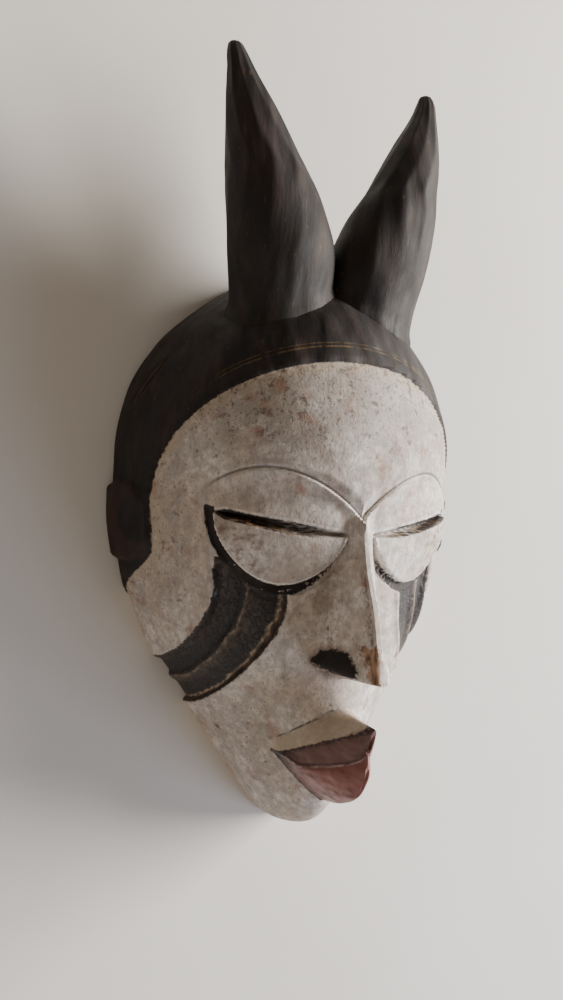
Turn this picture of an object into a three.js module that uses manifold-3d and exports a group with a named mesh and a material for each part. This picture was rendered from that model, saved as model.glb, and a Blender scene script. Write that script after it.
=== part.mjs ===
// Carved wooden face mask with a dark cap of hair and two tall horns.
// It lies on the flat rim of its hollow back and looks up.
// Millimetres. +X is the wearer's left, +Y runs from the chin to the horn tips, +Z is out of the face.
import * as THREE from "three";
import Module from "manifold-3d";

// Driving sizes of the head
const headHeight = 342; // chin to crown
const headWidth = 213.2; // across the temples, without the ears
const faceDepth = 111.4; // rim plane to the forehead
const rootShare = 0.532; // height of the nose root above the chin, as a share of the head's height
const wall = 13; // thickness of the hollowed shell

// Driving sizes of the horns
const hornRise = 102; // crown to horn tips
const hornSink = 60; // how far the horns start below the crown, inside the wood
const hornWidth = 66; // greatest width of one horn
const hornFlatness = 0.86; // front to back size of a horn's section over its width
const hornSpread = 124.6; // between the two tips

// Driving sizes of the carving
const hairStep = 2.2; // the hair stands this much proud of the face
const browDepth = 2.6; // groove of the brow by the nose, shallower outwards
const hollowDepth = 3; // hollow between the brow and the nose
const slitDepth = 4;
const slitWidth = 6.4;
const lidHeight = 4.2; // swell of the half moon below the slit
const lidGrooveDepth = 1.5;
const lidGrooveWidth = 6;
const bandDepth = 3.4; // channels of the cheek bands
const bandLip = 1; // raised borders of the cheek bands
const noseTip = 127.6; // rim plane to the tip of the nose
const noseWidth = 38; // across the nostrils
const noseRidge = 3.6; // flat strip along the nose
const lipPeak = 119.5; // rim plane to the peak of the upper lip
const mouthWidth = 57;
const earHeight = 5.8; // the ears stand this much proud of the hair
const earHollow = 4;
const gougeDepth = 2.5; // old gouge in the hair on the wearer's right
const gougeWidth = 5;

// Fineness of the surface
const rimSteps = 120;
const seamStep = 3.4; // spacing of points along the carved lines
const edgeStep = 6; // the same along the straight edges of the nose and lips
const surfacePoints = 3700;
const cavityPoints = 330;
const hornSides = 26;
const hornRings = 18;

// Share of height, half width, depth and squareness of the plain head's sections, from chin to crown
const headSections = [
  [0, 0, 0, 2],
  [0.009, 0.098, 0.229, 2],
  [0.029, 0.174, 0.413, 1.95],
  [0.07, 0.27, 0.543, 1.85],
  [0.137, 0.418, 0.652, 1.74],
  [0.228, 0.605, 0.736, 1.7],
  [0.342, 0.836, 0.837, 1.76],
  [0.459, 0.957, 0.92, 1.84],
  [0.561, 1, 0.987, 1.91],
  [0.664, 0.993, 1, 1.97],
  [0.766, 0.926, 0.934, 1.98],
  [0.854, 0.762, 0.824, 2.02],
  [0.927, 0.52, 0.635, 2],
  [0.971, 0.317, 0.426, 2],
  [0.993, 0.144, 0.224, 2],
  [1, 0, 0, 2],
];

// Share of the horn's length, offset from the middle, height over the rim plane and width of its sections
const hornSections = [
  [0, 0.465, 0.5, 0.86],
  [0.154, 0.455, 0.575, 0.9],
  [0.309, 0.495, 0.646, 0.945],
  [0.463, 0.592, 0.691, 0.86],
  [0.617, 0.73, 0.718, 0.658],
  [0.772, 0.851, 0.731, 0.455],
  [0.895, 0.947, 0.732, 0.258],
  [0.969, 0.992, 0.722, 0.13],
  [1, 1, 0.714, 0],
];

const halfHeight = headHeight / 2;
const halfWidth = headWidth / 2;
const chinY = -rootShare * headHeight;
const crownY = chinY + headHeight;
const middleY = chinY + halfHeight;
const tall = headHeight / 100; // the carver's measure up the head
const wide = headWidth / 100; // the same across it
const deep = faceDepth / 100; // the same out of it

const { clamp, degToRad, radToDeg, lerp } = THREE.MathUtils;

/** Runs smoothly from 0 at a to 1 at b, whichever is larger. */
function ease(a, b, x) {
  const t = clamp((x - a) / (b - a), 0, 1);
  return t * t * (3 - 2 * t);
}

/** A smooth hump: 1 at 0, 0 beyond the given half width. */
function hump(x, half) {
  const t = Math.min(Math.abs(x) / half, 1);
  return (1 - t * t) ** 2;
}

/** Smooth curve through rows of [position, value in the given column] that never overshoots them. */
function curveThrough(rows, column) {
  const xs = rows.map((row) => row[0]);
  const ys = rows.map((row) => row[column]);
  const rise = xs.slice(1).map((x, i) => (ys[i + 1] - ys[i]) / (x - xs[i]));
  const slope = xs.map((x, i) => {
    if (i === 0) return rise[0];
    if (i === xs.length - 1) return rise[i - 1];
    if (rise[i - 1] * rise[i] <= 0) return 0;
    const before = xs[i] - xs[i - 1];
    const after = xs[i + 1] - xs[i];
    const w1 = 2 * after + before;
    const w2 = after + 2 * before;
    return (w1 + w2) / (w1 / rise[i - 1] + w2 / rise[i]);
  });
  return (x) => {
    const at = clamp(x, xs[0], xs[xs.length - 1]);
    let i = 0;
    while (i < xs.length - 2 && at > xs[i + 1]) i += 1;
    const span = xs[i + 1] - xs[i];
    const t = (at - xs[i]) / span;
    const t2 = t * t;
    const t3 = t2 * t;
    return (
      ys[i] * (2 * t3 - 3 * t2 + 1) +
      slope[i] * span * (t3 - 2 * t2 + t) +
      ys[i + 1] * (3 * t2 - 2 * t3) +
      slope[i + 1] * span * (t3 - t2)
    );
  };
}

const widthAt = curveThrough(headSections, 1);
const depthAt = curveThrough(headSections, 2);
const squareAt = curveThrough(headSections, 3);

/** Half width, depth and squareness of the head at a height. */
function sectionAt(y) {
  const share = clamp((y - chinY) / headHeight, 0, 1);
  const least = 0.01;
  return [
    Math.max(widthAt(share) * halfWidth, least),
    Math.max(depthAt(share) * faceDepth, least),
    squareAt(share),
  ];
}

/** Distance from the upright axis to an oval section, in the direction of an angle from the front. */
function ovalRadius(angle, [a, d, n]) {
  return ((Math.abs(Math.sin(angle)) / a) ** n + (Math.abs(Math.cos(angle)) / d) ** n) ** (-1 / n);
}

/** The same to the plain head at a height. */
const plainRadius = (angle, y) => ovalRadius(angle, sectionAt(y));

/** The same to the hollow, which keeps the head's form and leaves the wall round it. */
function hollowRadius(angle, y) {
  const [a, d, n] = sectionAt(middleY + ((y - middleY) * halfHeight) / (halfHeight - wall));
  return ovalRadius(angle, [a * (1 - wall / halfWidth), d * (1 - wall / faceDepth), n]);
}

/** Height of the plain head over the rim plane at a place seen from the front. */
function plainHeight(x, y) {
  const [a, d, n] = sectionAt(y);
  return d * Math.max(1 - (Math.abs(x) / a) ** n, 0) ** (1 / n);
}

// Lines of the carving. Places are degrees round from the front and millimetres above the nose root.

const slitFrom = 4.5;
const slitTo = 42;
const lidDrop = 9.05 * tall;

/** Middle of the eye's slit, which climbs outwards. */
function slitY(p) {
  return tall * (-1.75 + 3.5 * clamp((p - slitFrom) / 37, 0, 1.2) ** 1.4);
}

function slitHalf(p) {
  const t = clamp((p - slitFrom) / (slitTo - slitFrom), 0, 1);
  return (slitWidth / 2) * Math.sin(Math.PI * (0.05 + 0.94 * t)) ** 0.7;
}

/** 1 on the edge of the half moon below the slit, less inside it. */
function lidLevel(p, y) {
  const across = (p - slitFrom) / (slitTo + 0.7 - slitFrom);
  const t = Math.sign(across) * Math.abs(across) ** 1.25;
  return Math.hypot(2 * t - 1, (y - slitY(p)) / lidDrop);
}

/** Height of the half moon's lower edge. */
function lidEdgeY(p) {
  const t = clamp((p - slitFrom) / (slitTo + 0.7 - slitFrom), 0, 1) ** 1.25;
  return slitY(p) - lidDrop * Math.sqrt(4 * t * (1 - t));
}

const browTo = 45;
const browY = (p) => tall * (0.6 + 7.9 * Math.sin(degToRad((clamp(p, 0, 56) * 180) / 56)) ** 0.8);

const hairReach = 66.5; // degrees from the front to the hairline at the temples
const hairRise = 25.4 * tall;
const burnTop = -3.5 * tall;
const burnEnd = -12.3 * tall;

/** 1 on the hairline, less on the face, more in the hair. */
function hairLevel(p, y) {
  if (y > 0) return Math.hypot(p / hairReach, y / hairRise);
  return p / (hairReach + (90 - hairReach) * ease(burnTop, burnEnd, y));
}

const bandReach = 56; // degrees from the side to the middle line of the cheek band
const bandDrop = 17.5 * tall;
const bandY = -8.8 * tall;
const bandTopY = -6.2 * tall; // the outer border starts here, at the corner of the eye
const bandOuter = 0.78;
const bandInner = 1.26;

/** 1 along the middle ridge of the cheek band, less on its outer side. */
const bandLevel = (p, y) => Math.hypot((90 - p) / bandReach, (y - bandY) / bandDrop);

/** Signed distance in millimetres from a place to the line where a level is 1. */
function distanceTo(level, p, y, radius) {
  const e = 0.05;
  const across = degToRad(radius);
  const gp = (level(p + e, y) - level(p - e, y)) / (2 * e * across);
  const gy = (level(p, y + e) - level(p, y - e)) / (2 * e);
  return (level(p, y) - 1) / Math.max(Math.hypot(gp, gy), 1e-4);
}

const noseTopY = 0.6 * tall;
const noseEndY = -23.8 * tall;
const noseRun = noseTopY - noseEndY;

/** Height of the nose's ridge over the rim plane, t running from the root to the tip. */
const ridgeHeight = (t) => lerp(101.8 * deep, noseTip, t ** 1.15);
const ridgeHalf = (t) => (noseRidge / 2) * (0.7 + 0.5 * t);
const wingOut = (t) => ease(0.78, 0.93, t);
const noseHalf = (t) => 4.2 * wide + 2.4 * wide * ease(0, 0.35, t) + (noseWidth / 2 - 6.6 * wide) * wingOut(t);
const noseFoldY = (x) => noseEndY + 2.4 * tall * clamp((2 * Math.abs(x)) / noseWidth, 0, 1.3) ** 1.5;

/** Height of the nose over the rim plane at a place seen from the front, or of the plain head beside it. */
function noseHeight(x, y) {
  const plain = plainHeight(x, y);
  const t = clamp((noseTopY - y) / noseRun, 0, 1);
  const flat = ridgeHalf(t);
  const side = clamp((Math.abs(x) - flat) / (noseHalf(t) - flat), 0, 1);
  const ridge = Math.max(ridgeHeight(t), plain);
  const slope = side ** (0.95 + 0.75 * wingOut(t));
  const under = ease(noseFoldY(x) - 1.6, noseFoldY(x), y) * ease(1.8 * tall, -0.6 * tall, y);
  return lerp(plain, lerp(ridge, plain, slope), under);
}

const mouthHalf = mouthWidth / 2;
const creaseY = (u) => tall * (-29.5 - 4.7 * u ** 1.2);
const lipEdgeY = (u) => tall * (-30.4 - 6.15 * u);
const lipEdgeHeight = (u) => lipPeak - 49.4 * deep * (Math.hypot(u, 0.05) - 0.05);
const mouthLineY = (u) => tall * (-33.2 - 5.1 * u ** 0.35 + 1.5 * ease(0.75, 1, u));
const lipTuck = (u) => 7.2 * deep * (1 - u);
const lipFootY = (u) => tall * (-36.8 - 8.5 * (1 - u ** 1.3));

/** Height of the lips over the rim plane at a place seen from the front, or of the plain head round them. */
function mouthHeight(x, y) {
  const u = Math.abs(x) / mouthHalf;
  const plain = plainHeight(x, y);
  if (u > 1.05 || y > creaseY(u) || y < lipFootY(Math.min(u, 1))) return plain;
  const inside = Math.min(u, 1);
  const edge = lipEdgeHeight(inside);
  const line = edge - lipTuck(inside);
  let height = plain;
  if (y > lipEdgeY(inside)) {
    const t = (creaseY(inside) - y) / (creaseY(inside) - lipEdgeY(inside));
    height = lerp(plainHeight(x, creaseY(inside)), edge, t);
  } else if (y > mouthLineY(inside)) {
    const t = (lipEdgeY(inside) - y) / (lipEdgeY(inside) - mouthLineY(inside));
    height = lerp(edge, line, t ** 1.5);
  } else {
    const t = (mouthLineY(inside) - y) / (mouthLineY(inside) - lipFootY(inside));
    const swell = Math.max(1 - t ** 2.6, 0) ** 0.6;
    height = lerp(plain, line + 1.5 * hump(t - 0.25, 0.25), swell);
  }
  return lerp(height, plain, ease(1, 1.05, u));
}

/** Radius at which a ray from the upright axis leaves a form given by its height seen from the front. */
function radiusUnder(form, angle, y, radius) {
  let low = radius;
  let high = radius + faceDepth / 2;
  for (let i = 0; i < 16; i += 1) {
    const middle = (low + high) / 2;
    const over = middle * Math.cos(angle) > form(middle * Math.sin(angle), y);
    if (over) high = middle;
    else low = middle;
  }
  return low;
}

const earFront = 14.5 * deep;
const earReach = 24.2 * deep;
const earY = 0.9 * tall;
const earTall = 7 * tall;

/** 1 on the ear's outline, 0 at its middle, seen from the side. */
function earLevel(z, y) {
  const squareness = 2.8;
  const along = Math.abs((z - earFront) / earReach) ** squareness;
  const up = Math.abs((y - earY) / earTall) ** squareness;
  return (along + up) ** (1 / squareness);
}

/** 1 on the edge of the ear's hollow, which opens towards the face. */
function earHollowLevel(z, y) {
  return Math.hypot((z - earFront - 0.8 * earReach) / (16 * deep), (y - earY) / (4.4 * tall));
}

const gougeFrom = new THREE.Vector2(77.5, 20.2);
const gougeEnd = new THREE.Vector2(65.5, 27.5);

/** Radius of the carved head in the direction of an angle from the front, at a height. */
function carvedRadius(angle, y) {
  const plain = plainRadius(angle, y);
  const p = Math.abs(radToDeg(angle));
  let radius = plain;

  const intoHair = distanceTo(hairLevel, p, y, plain);
  radius += hairStep * ease(-0.6, 1.4, intoHair);
  const face = ease(0.5, -1.5, intoHair);

  const socket = ease(0.6 * tall, -2.4 * tall, y - browY(p)) * ease(-13.5 * tall, -6 * tall, y);
  radius -= hollowDepth * socket * ease(slitTo + 4, 20, p) * face;

  const overBrow = distanceTo((a, b) => 1 + b - browY(a), p, y, plain);
  const nearNose = ease(32, 2, p);
  const browCut = overBrow > 0 ? ease(1.6 + 5 * nearNose, 0, overBrow) : ease(-1.2, 0, overBrow);
  radius -= browDepth * (0.35 + 0.65 * nearNose) * ease(browTo + 2, browTo - 2, p) * browCut;

  const outLid = distanceTo(lidLevel, p, y, plain);
  const overSlit = y - slitY(p);
  const inEye = ease(slitFrom - 0.5, slitFrom + 1, p) * ease(slitTo + 1, slitTo - 0.5, p);
  const lid = ease(0.9, -0.5, outLid) * ease(0.6, -0.6, overSlit);
  const across = clamp(-overSlit / lidDrop, 0, 1);
  radius += lid * lidHeight * (0.55 + 0.45 * Math.sin(Math.PI * across ** 0.8));
  const upperLid = ease(slitFrom - 1, slitFrom + 4, p) * ease(slitTo + 3, slitTo - 16, p);
  radius += 0.35 * lidHeight * upperLid * ease(-0.6, 0.6, overSlit) * ease(4.5 * tall, 0, overSlit);
  const groove = ease(lidGrooveWidth, lidGrooveWidth - 1.2, outLid) * ease(-0.5, 0.9, outLid);
  radius -= lidGrooveDepth * groove * ease(1.2 * tall, 0, overSlit) * ease(slitFrom - 1, slitFrom + 2, p);

  const slit = ease(1, 0.2, Math.abs(overSlit) / Math.max(slitHalf(p), 0.3));
  radius -= inEye * slitDepth * slit;

  const q = bandLevel(p, y);
  const onCheek = ease(lidGrooveWidth - 1, lidGrooveWidth + 0.4, outLid) * ease(bandTopY + 2, bandTopY - 3, y);
  const channel = ease(bandOuter + 0.015, bandOuter + 0.05, q) * ease(bandInner - 0.01, bandInner - 0.05, q);
  radius -= bandDepth * onCheek * channel * (1 - 0.7 * hump(q - 1, 0.06));
  radius += bandLip * onCheek * (hump(q - bandOuter + 0.012, 0.03) + hump(q - bandInner - 0.012, 0.03));

  if (p < 30 && y < 2 * tall && y > noseEndY - 2) radius += radiusUnder(noseHeight, angle, y, plain) - plain;
  if (p < 40 && y < creaseY(0)) radius += radiusUnder(mouthHeight, angle, y, plain) - plain;

  if (p > 55 && Math.abs(y - earY) < earTall) {
    const z = plain * Math.cos(angle);
    const ear = ease(1, 0.86, earLevel(z, y));
    radius += ear * (earHeight - hairStep) - earHollow * ear * hump(earHollowLevel(z, y), 1);
  }

  const gougeSpan = (gougeEnd.y - gougeFrom.y) * tall;
  const alongGouge = (y - gougeFrom.y * tall) / gougeSpan;
  if (angle < 0 && alongGouge > 0 && alongGouge < 1) {
    const off = degToRad(p - lerp(gougeFrom.x, gougeEnd.x, alongGouge)) * plain;
    radius -= gougeDepth * hump(off, (gougeWidth / 2) * (0.3 + Math.sin(Math.PI * alongGouge)));
  }
  return radius;
}

// The surface is drawn on a flat map of the half sphere of directions, stretched as tall as the head is.

const mapStretch = halfHeight / halfWidth;

/** Place on the map of a direction given in degrees from the front and by its height. */
function toMap(degrees, y) {
  const up = clamp((y - middleY) / halfHeight, -1, 1);
  const level = Math.sqrt(1 - up * up);
  const scale = 1 / (1 + level * Math.cos(degToRad(degrees)));
  return [level * Math.sin(degToRad(degrees)) * scale, up * scale * mapStretch];
}

/** Point of the surface with the given radius function at a place on the map. */
function fromMap([mx, my], radiusAt, reach = halfHeight) {
  const v = my / mapStretch;
  const s = mx * mx + v * v;
  const up = clamp((2 * v) / (1 + s), -1, 1);
  const front = (1 - s) / (1 + s);
  const y = middleY + reach * up;
  const angle = Math.atan2((2 * mx) / (1 + s), Math.max(front, 0));
  const radius = radiusAt(angle, y);
  return new THREE.Vector3(radius * Math.sin(angle), y, front < 1e-9 ? 0 : radius * Math.cos(angle));
}

/** Net of triangles on the map that stays Delaunay while points are added. */
class Net {
  constructor(rim) {
    this.places = [...rim];
    this.owner = new Map();
    this.triangles = new Set();
    for (let i = 1; i < rim.length - 1; i += 1) this.addTriangle(0, i, i + 1);
    this.settle();
  }

  key(a, b) {
    return a * 1e5 + b;
  }

  addTriangle(a, b, c) {
    const triangle = [a, b, c];
    this.triangles.add(triangle);
    this.owner.set(this.key(a, b), triangle);
    this.owner.set(this.key(b, c), triangle);
    this.owner.set(this.key(c, a), triangle);
  }

  removeTriangle(triangle) {
    const [a, b, c] = triangle;
    this.triangles.delete(triangle);
    this.owner.delete(this.key(a, b));
    this.owner.delete(this.key(b, c));
    this.owner.delete(this.key(c, a));
  }

  /** Turns the diagonals of the first fan until each circle is empty. */
  settle() {
    let turned = true;
    while (turned) {
      turned = false;
      for (const triangle of [...this.triangles]) {
        if (!this.triangles.has(triangle)) continue;
        for (let i = 0; i < 3; i += 1) {
          const [a, b, c] = [triangle[i], triangle[(i + 1) % 3], triangle[(i + 2) % 3]];
          const twin = this.owner.get(this.key(b, a));
          if (!twin) continue;
          const d = twin.find((v) => v !== a && v !== b);
          if (!this.inCircle(triangle, this.places[d], 1e-9)) continue;
          this.removeTriangle(triangle);
          this.removeTriangle(twin);
          this.addTriangle(c, a, d);
          this.addTriangle(d, b, c);
          turned = true;
          break;
        }
      }
    }
  }

  side(a, b, [x, y]) {
    const [ax, ay] = this.places[a];
    const [bx, by] = this.places[b];
    return (bx - ax) * (y - ay) - (by - ay) * (x - ax);
  }

  holds([a, b, c], place) {
    const slack = -1e-12;
    const sides = [this.side(a, b, place), this.side(b, c, place), this.side(c, a, place)];
    return sides.every((side) => side >= slack);
  }

  inCircle(triangle, [x, y], slack = 0) {
    const [a, b, c] = triangle.map((v) => [this.places[v][0] - x, this.places[v][1] - y]);
    const [a2, b2, c2] = [a, b, c].map((v) => v[0] * v[0] + v[1] * v[1]);
    const det =
      a2 * (b[0] * c[1] - b[1] * c[0]) - b2 * (a[0] * c[1] - a[1] * c[0]) + c2 * (a[0] * b[1] - a[1] * b[0]);
    return det > slack;
  }

  /** Adds a place that lies in the start triangle and joins it to the net round it. */
  insert(place, start) {
    const hole = new Set([start]);
    for (const triangle of hole) {
      for (let i = 0; i < 3; i += 1) {
        const twin = this.owner.get(this.key(triangle[(i + 1) % 3], triangle[i]));
        if (twin && !hole.has(twin) && this.inCircle(twin, place)) hole.add(twin);
      }
    }
    const border = [];
    for (const triangle of hole) {
      for (let i = 0; i < 3; i += 1) {
        const [a, b] = [triangle[i], triangle[(i + 1) % 3]];
        if (!hole.has(this.owner.get(this.key(b, a)))) border.push([a, b]);
      }
    }
    for (const triangle of hole) this.removeTriangle(triangle);
    const index = this.places.push(place) - 1;
    for (const [a, b] of border) this.addTriangle(a, b, index);
  }

  /** Adds a place anywhere inside the rim, unless the net already has a point within the gap. */
  insertAnywhere(place, gap) {
    const near = this.places.some((other) => Math.hypot(other[0] - place[0], other[1] - place[1]) < gap);
    if (near) return;
    for (const triangle of this.triangles) {
      if (this.holds(triangle, place)) {
        this.insert(place, triangle);
        return;
      }
    }
  }
}

/** Place in a triangle of the net where the surface strays furthest from it, and how far. */
function worstPlace(net, triangle, points, surface) {
  const [a, b, c] = triangle.map((v) => points[v]);
  const normal = b.clone().sub(a).cross(c.clone().sub(a)).normalize();
  const [pa, pb, pc] = triangle.map((v) => net.places[v]);
  const steps = 6;
  let worst = { error: 0 };
  for (let i = 1; i < steps - 1; i += 1) {
    for (let j = 1; j < steps - i; j += 1) {
      const [wa, wb, wc] = [i / steps, j / steps, (steps - i - j) / steps];
      const place = [0, 1].map((k) => wa * pa[k] + wb * pb[k] + wc * pc[k]);
      const error = Math.abs(surface(place).sub(a).dot(normal));
      if (error > worst.error) worst = { error, place };
    }
  }
  return worst;
}

/** Net over the map that follows the seed places first and then goes where the surface bends most. */
function meshSurface(surface, steps, seeds, count) {
  const rim = Array.from({ length: steps }, (_, i) => {
    const turn = (2 * Math.PI * i) / steps;
    return [Math.cos(turn), Math.sin(turn) * mapStretch];
  });
  const net = new Net(rim);
  const gap = 0.4 / halfWidth;
  for (const seed of seeds) net.insertAnywhere(seed, gap);
  const points = net.places.map(surface);
  const judged = new Map();
  while (net.places.length < count) {
    for (const triangle of net.triangles) {
      if (!judged.has(triangle)) judged.set(triangle, worstPlace(net, triangle, points, surface));
    }
    const order = [...net.triangles].sort((s, t) => judged.get(t).error - judged.get(s).error);
    for (const triangle of order.slice(0, Math.ceil(order.length / 40))) {
      const { place, error } = judged.get(triangle);
      if (!net.triangles.has(triangle) || error < 0.02 || net.places.length >= count) continue;
      net.insert(place, triangle);
      points.push(surface(place));
    }
    for (const triangle of judged.keys()) {
      if (!net.triangles.has(triangle)) judged.delete(triangle);
    }
  }
  return { points, triangles: [...net.triangles], rim: rim.length };
}

// Seeds along the carved lines, so that each edge of the carving is an edge of the surface.

/** Places on both sides of the face, evenly along a line given as [degrees, height] for t from 0 to 1. */
function seedsAlong(line, offsets = [0], spacing = seamStep) {
  const places = [];
  const fine = 200;
  const trail = Array.from({ length: fine + 1 }, (_, i) => line(i / fine));
  const flat = trail.map(([p, y]) => {
    const radius = plainRadius(degToRad(p), y);
    return { p, y, radius };
  });
  let run = spacing / 2;
  for (let i = 1; i <= fine; i += 1) {
    const [from, to] = [flat[i - 1], flat[i]];
    const dx = degToRad(to.p - from.p) * to.radius;
    const dy = to.y - from.y;
    const length = Math.hypot(dx, dy);
    run += length;
    if (run < spacing || length === 0) continue;
    run -= spacing;
    for (const offset of offsets) {
      const p = to.p + radToDeg((-dy / length) * offset) / to.radius;
      const y = to.y + (dx / length) * offset;
      if (p < 0 || p > 89 || y <= chinY + 1 || y >= crownY - 1) continue;
      places.push(toMap(p, y), toMap(-p, y));
    }
  }
  return places;
}

/** The same for a line given as [x, y, z] seen from the front. */
function seedsAcross(line, offsets = [0], spacing = seamStep) {
  return seedsAlong(
    (t) => {
      const [x, y, z] = line(t);
      return [radToDeg(Math.atan2(x, z)), y];
    },
    offsets,
    spacing,
  );
}

/** Line at a level of the cheek band, from the eye to the rim. */
const bandLine = (level) => (t) => {
  const turn = degToRad(lerp(4, 89, t));
  return [90 - bandReach * level * Math.cos(turn), bandY - bandDrop * level * Math.sin(turn)];
};

function carvingSeeds() {
  const eye = (t) => lerp(slitFrom + 0.6, slitTo - 0.6, t);
  const round = (t) => lerp(slitFrom + 0.1, slitTo + 0.6, (1 - Math.cos(Math.PI * t)) / 2);
  const hair = (t) => [hairReach * Math.cos((t * Math.PI) / 2), hairRise * Math.sin((t * Math.PI) / 2)];
  const burn = (t) => {
    const y = lerp(0, burnEnd, t);
    return [hairReach + (90 - hairReach) * ease(burnTop, burnEnd, y), y];
  };
  const noseY = (t) => lerp(noseTopY, noseEndY, t);
  const underNose = (t) => lerp(0.3, noseWidth / 2, t);
  const onPlain = (line) => (t) => {
    const [x, y] = line(t);
    return [x, y, plainHeight(x, y)];
  };
  return [
    ...seedsAcross((t) => [ridgeHalf(t), noseY(t) + 0.6, ridgeHeight(t)], [0], edgeStep),
    ...seedsAcross(onPlain((t) => [noseHalf(t), noseY(t)]), [0], edgeStep),
    ...seedsAcross((t) => {
      const y = noseFoldY(underNose(t)) + 0.1;
      return [underNose(t), y, noseHeight(underNose(t), y)];
    }, [0], 2.4),
    ...seedsAcross(onPlain((t) => [underNose(t), noseFoldY(underNose(t)) - 1.7]), [0], 2.4),
    ...seedsAcross((t) => [mouthHalf * t, lipEdgeY(t), lipEdgeHeight(t)], [0], edgeStep),
    ...seedsAcross(onPlain((t) => [mouthHalf * t, creaseY(t) + 0.1]), [0], edgeStep),
    ...seedsAcross((t) => [mouthHalf * t, mouthLineY(t), lipEdgeHeight(t) - lipTuck(t)], [0, -1.6]),
    ...seedsAcross(onPlain((t) => [mouthHalf * t, lipFootY(t) - 0.1])),
    ...seedsAcross((t) => {
      const y = lerp(creaseY(1), lipFootY(1), t);
      return [mouthHalf, y, mouthHeight(mouthHalf, y)];
    }, [0], 2.4),
    ...seedsAcross(onPlain((t) => [1.07 * mouthHalf, lerp(creaseY(1) + 2, lipFootY(1) - 2, t)]), [0], 2.4),
    ...seedsAlong((t) => [eye(t), slitY(eye(t))]),
    ...seedsAlong((t) => [eye(t), slitY(eye(t)) + slitHalf(eye(t))]),
    ...seedsAlong((t) => [eye(t), slitY(eye(t)) - slitHalf(eye(t))]),
    ...seedsAlong((t) => [round(t), lidEdgeY(round(t))], [-0.9, 0.5, -lidGrooveWidth, 1.2 - lidGrooveWidth]),
    ...seedsAlong((t) => [browTo * t, browY(browTo * t)], [0, -1.3]),
    ...seedsAlong(hair, [-1.4, 0.6]),
    ...seedsAlong(burn, [1.4, -0.6]),
    ...[0.015, 0.05].flatMap((step) => seedsAlong(bandLine(bandOuter + step))),
    ...[-0.01, -0.05].flatMap((step) => seedsAlong(bandLine(bandInner + step))),
    ...seedsAlong(bandLine(1)),
  ];
}

/** Solid from points and triangles. */
function solidOf(wasm, points, triangles) {
  const vertProperties = new Float32Array(points.flatMap((point) => point.toArray()));
  const triVerts = new Uint32Array(triangles.flat());
  return new wasm.Manifold(new wasm.Mesh({ numProp: 3, vertProperties, triVerts }));
}

/** Closes a net over the map with straight sides down to a flat back. */
function closeBack({ points, triangles, rim }, backZ) {
  const all = [...points];
  const faces = [...triangles];
  let edge = Array.from({ length: rim }, (_, i) => i);
  if (backZ < 0) {
    const lower = edge.map((i) => all.push(points[i].clone().setZ(backZ)) - 1);
    edge.forEach((a, i) => {
      const j = (i + 1) % rim;
      faces.push([a, lower[i], edge[j]], [edge[j], lower[i], lower[j]]);
    });
    edge = lower;
  }
  const centre = all.push(new THREE.Vector3(0, middleY, backZ)) - 1;
  edge.forEach((a, i) => faces.push([edge[(i + 1) % rim], a, centre]));
  return [all, faces];
}

/** One horn, tapering along a bent axis. */
function hornMesh(side) {
  const length = hornRise + hornSink;
  const outAt = curveThrough(hornSections, 1);
  const heightAt = curveThrough(hornSections, 2);
  const sizeAt = curveThrough(hornSections, 3);
  const axisAt = (t) => {
    const out = (side * hornSpread * outAt(t)) / 2;
    return new THREE.Vector3(out, crownY - hornSink + length * t, faceDepth * heightAt(t));
  };
  const points = [];
  const faces = [];
  for (let ring = 0; ring < hornRings; ring += 1) {
    const t = Math.sin((ring / hornRings) * (Math.PI / 2));
    const radius = (hornWidth / 2) * sizeAt(t);
    for (let i = 0; i < hornSides; i += 1) {
      const turn = (2 * Math.PI * i) / hornSides;
      const out = new THREE.Vector3(side * radius * Math.cos(turn), 0, hornFlatness * radius * Math.sin(turn));
      points.push(axisAt(t).add(out));
    }
  }
  const bottom = points.push(axisAt(0)) - 1;
  const tip = points.push(axisAt(1)) - 1;
  const last = (hornRings - 1) * hornSides;
  for (let i = 0; i < hornSides; i += 1) {
    const j = (i + 1) % hornSides;
    for (let ring = 0; ring < hornRings - 1; ring += 1) {
      const a = ring * hornSides;
      const b = a + hornSides;
      faces.push([a + i, b + i, a + j], [a + j, b + i, b + j]);
    }
    faces.push([bottom, i, j], [last + i, tip, last + j]);
  }
  return [points, side > 0 ? faces : faces.map(([a, b, c]) => [a, c, b])];
}

/** Three.js geometry of a solid, without shared normals. */
function geometryOf(solid) {
  const mesh = solid.getMesh();
  const places = new Float32Array(mesh.vertProperties);
  const geometry = new THREE.BufferGeometry();
  geometry.setAttribute("position", new THREE.BufferAttribute(places, mesh.numProp));
  geometry.setIndex(new THREE.BufferAttribute(new Uint32Array(mesh.triVerts), 1));
  geometry.computeVertexNormals();
  return geometry;
}

/** The whole mask as one solid: the carved head with both horns, hollowed from the back. */
function carveMask(wasm) {
  const outside = (place) => fromMap(place, carvedRadius);
  const inside = (place) => fromMap(place, hollowRadius, halfHeight - wall);
  const face = meshSurface(outside, rimSteps, carvingSeeds(), surfacePoints);
  const hollow = meshSurface(inside, rimSteps / 2, [], cavityPoints);
  const head = solidOf(wasm, ...closeBack(face, 0));
  const cavity = solidOf(wasm, ...closeBack(hollow, -wall));
  return [1, -1]
    .reduce((solid, side) => solid.add(solidOf(wasm, ...hornMesh(side))), head)
    .subtract(cavity);
}

const wasm = await Module();
wasm.setup();

const kaolinWood = new THREE.MeshStandardMaterial({ color: "#b9aa98", roughness: 0.8, metalness: 0 });
const mask = new THREE.Mesh(geometryOf(carveMask(wasm)), kaolinWood);
mask.name = "mask";

const group = new THREE.Group();
group.add(mask);
const box = new THREE.Box3().setFromObject(mask);
mask.position.set(-(box.min.x + box.max.x) / 2, -(box.min.y + box.max.y) / 2, -box.min.z);

export default group;
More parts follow.
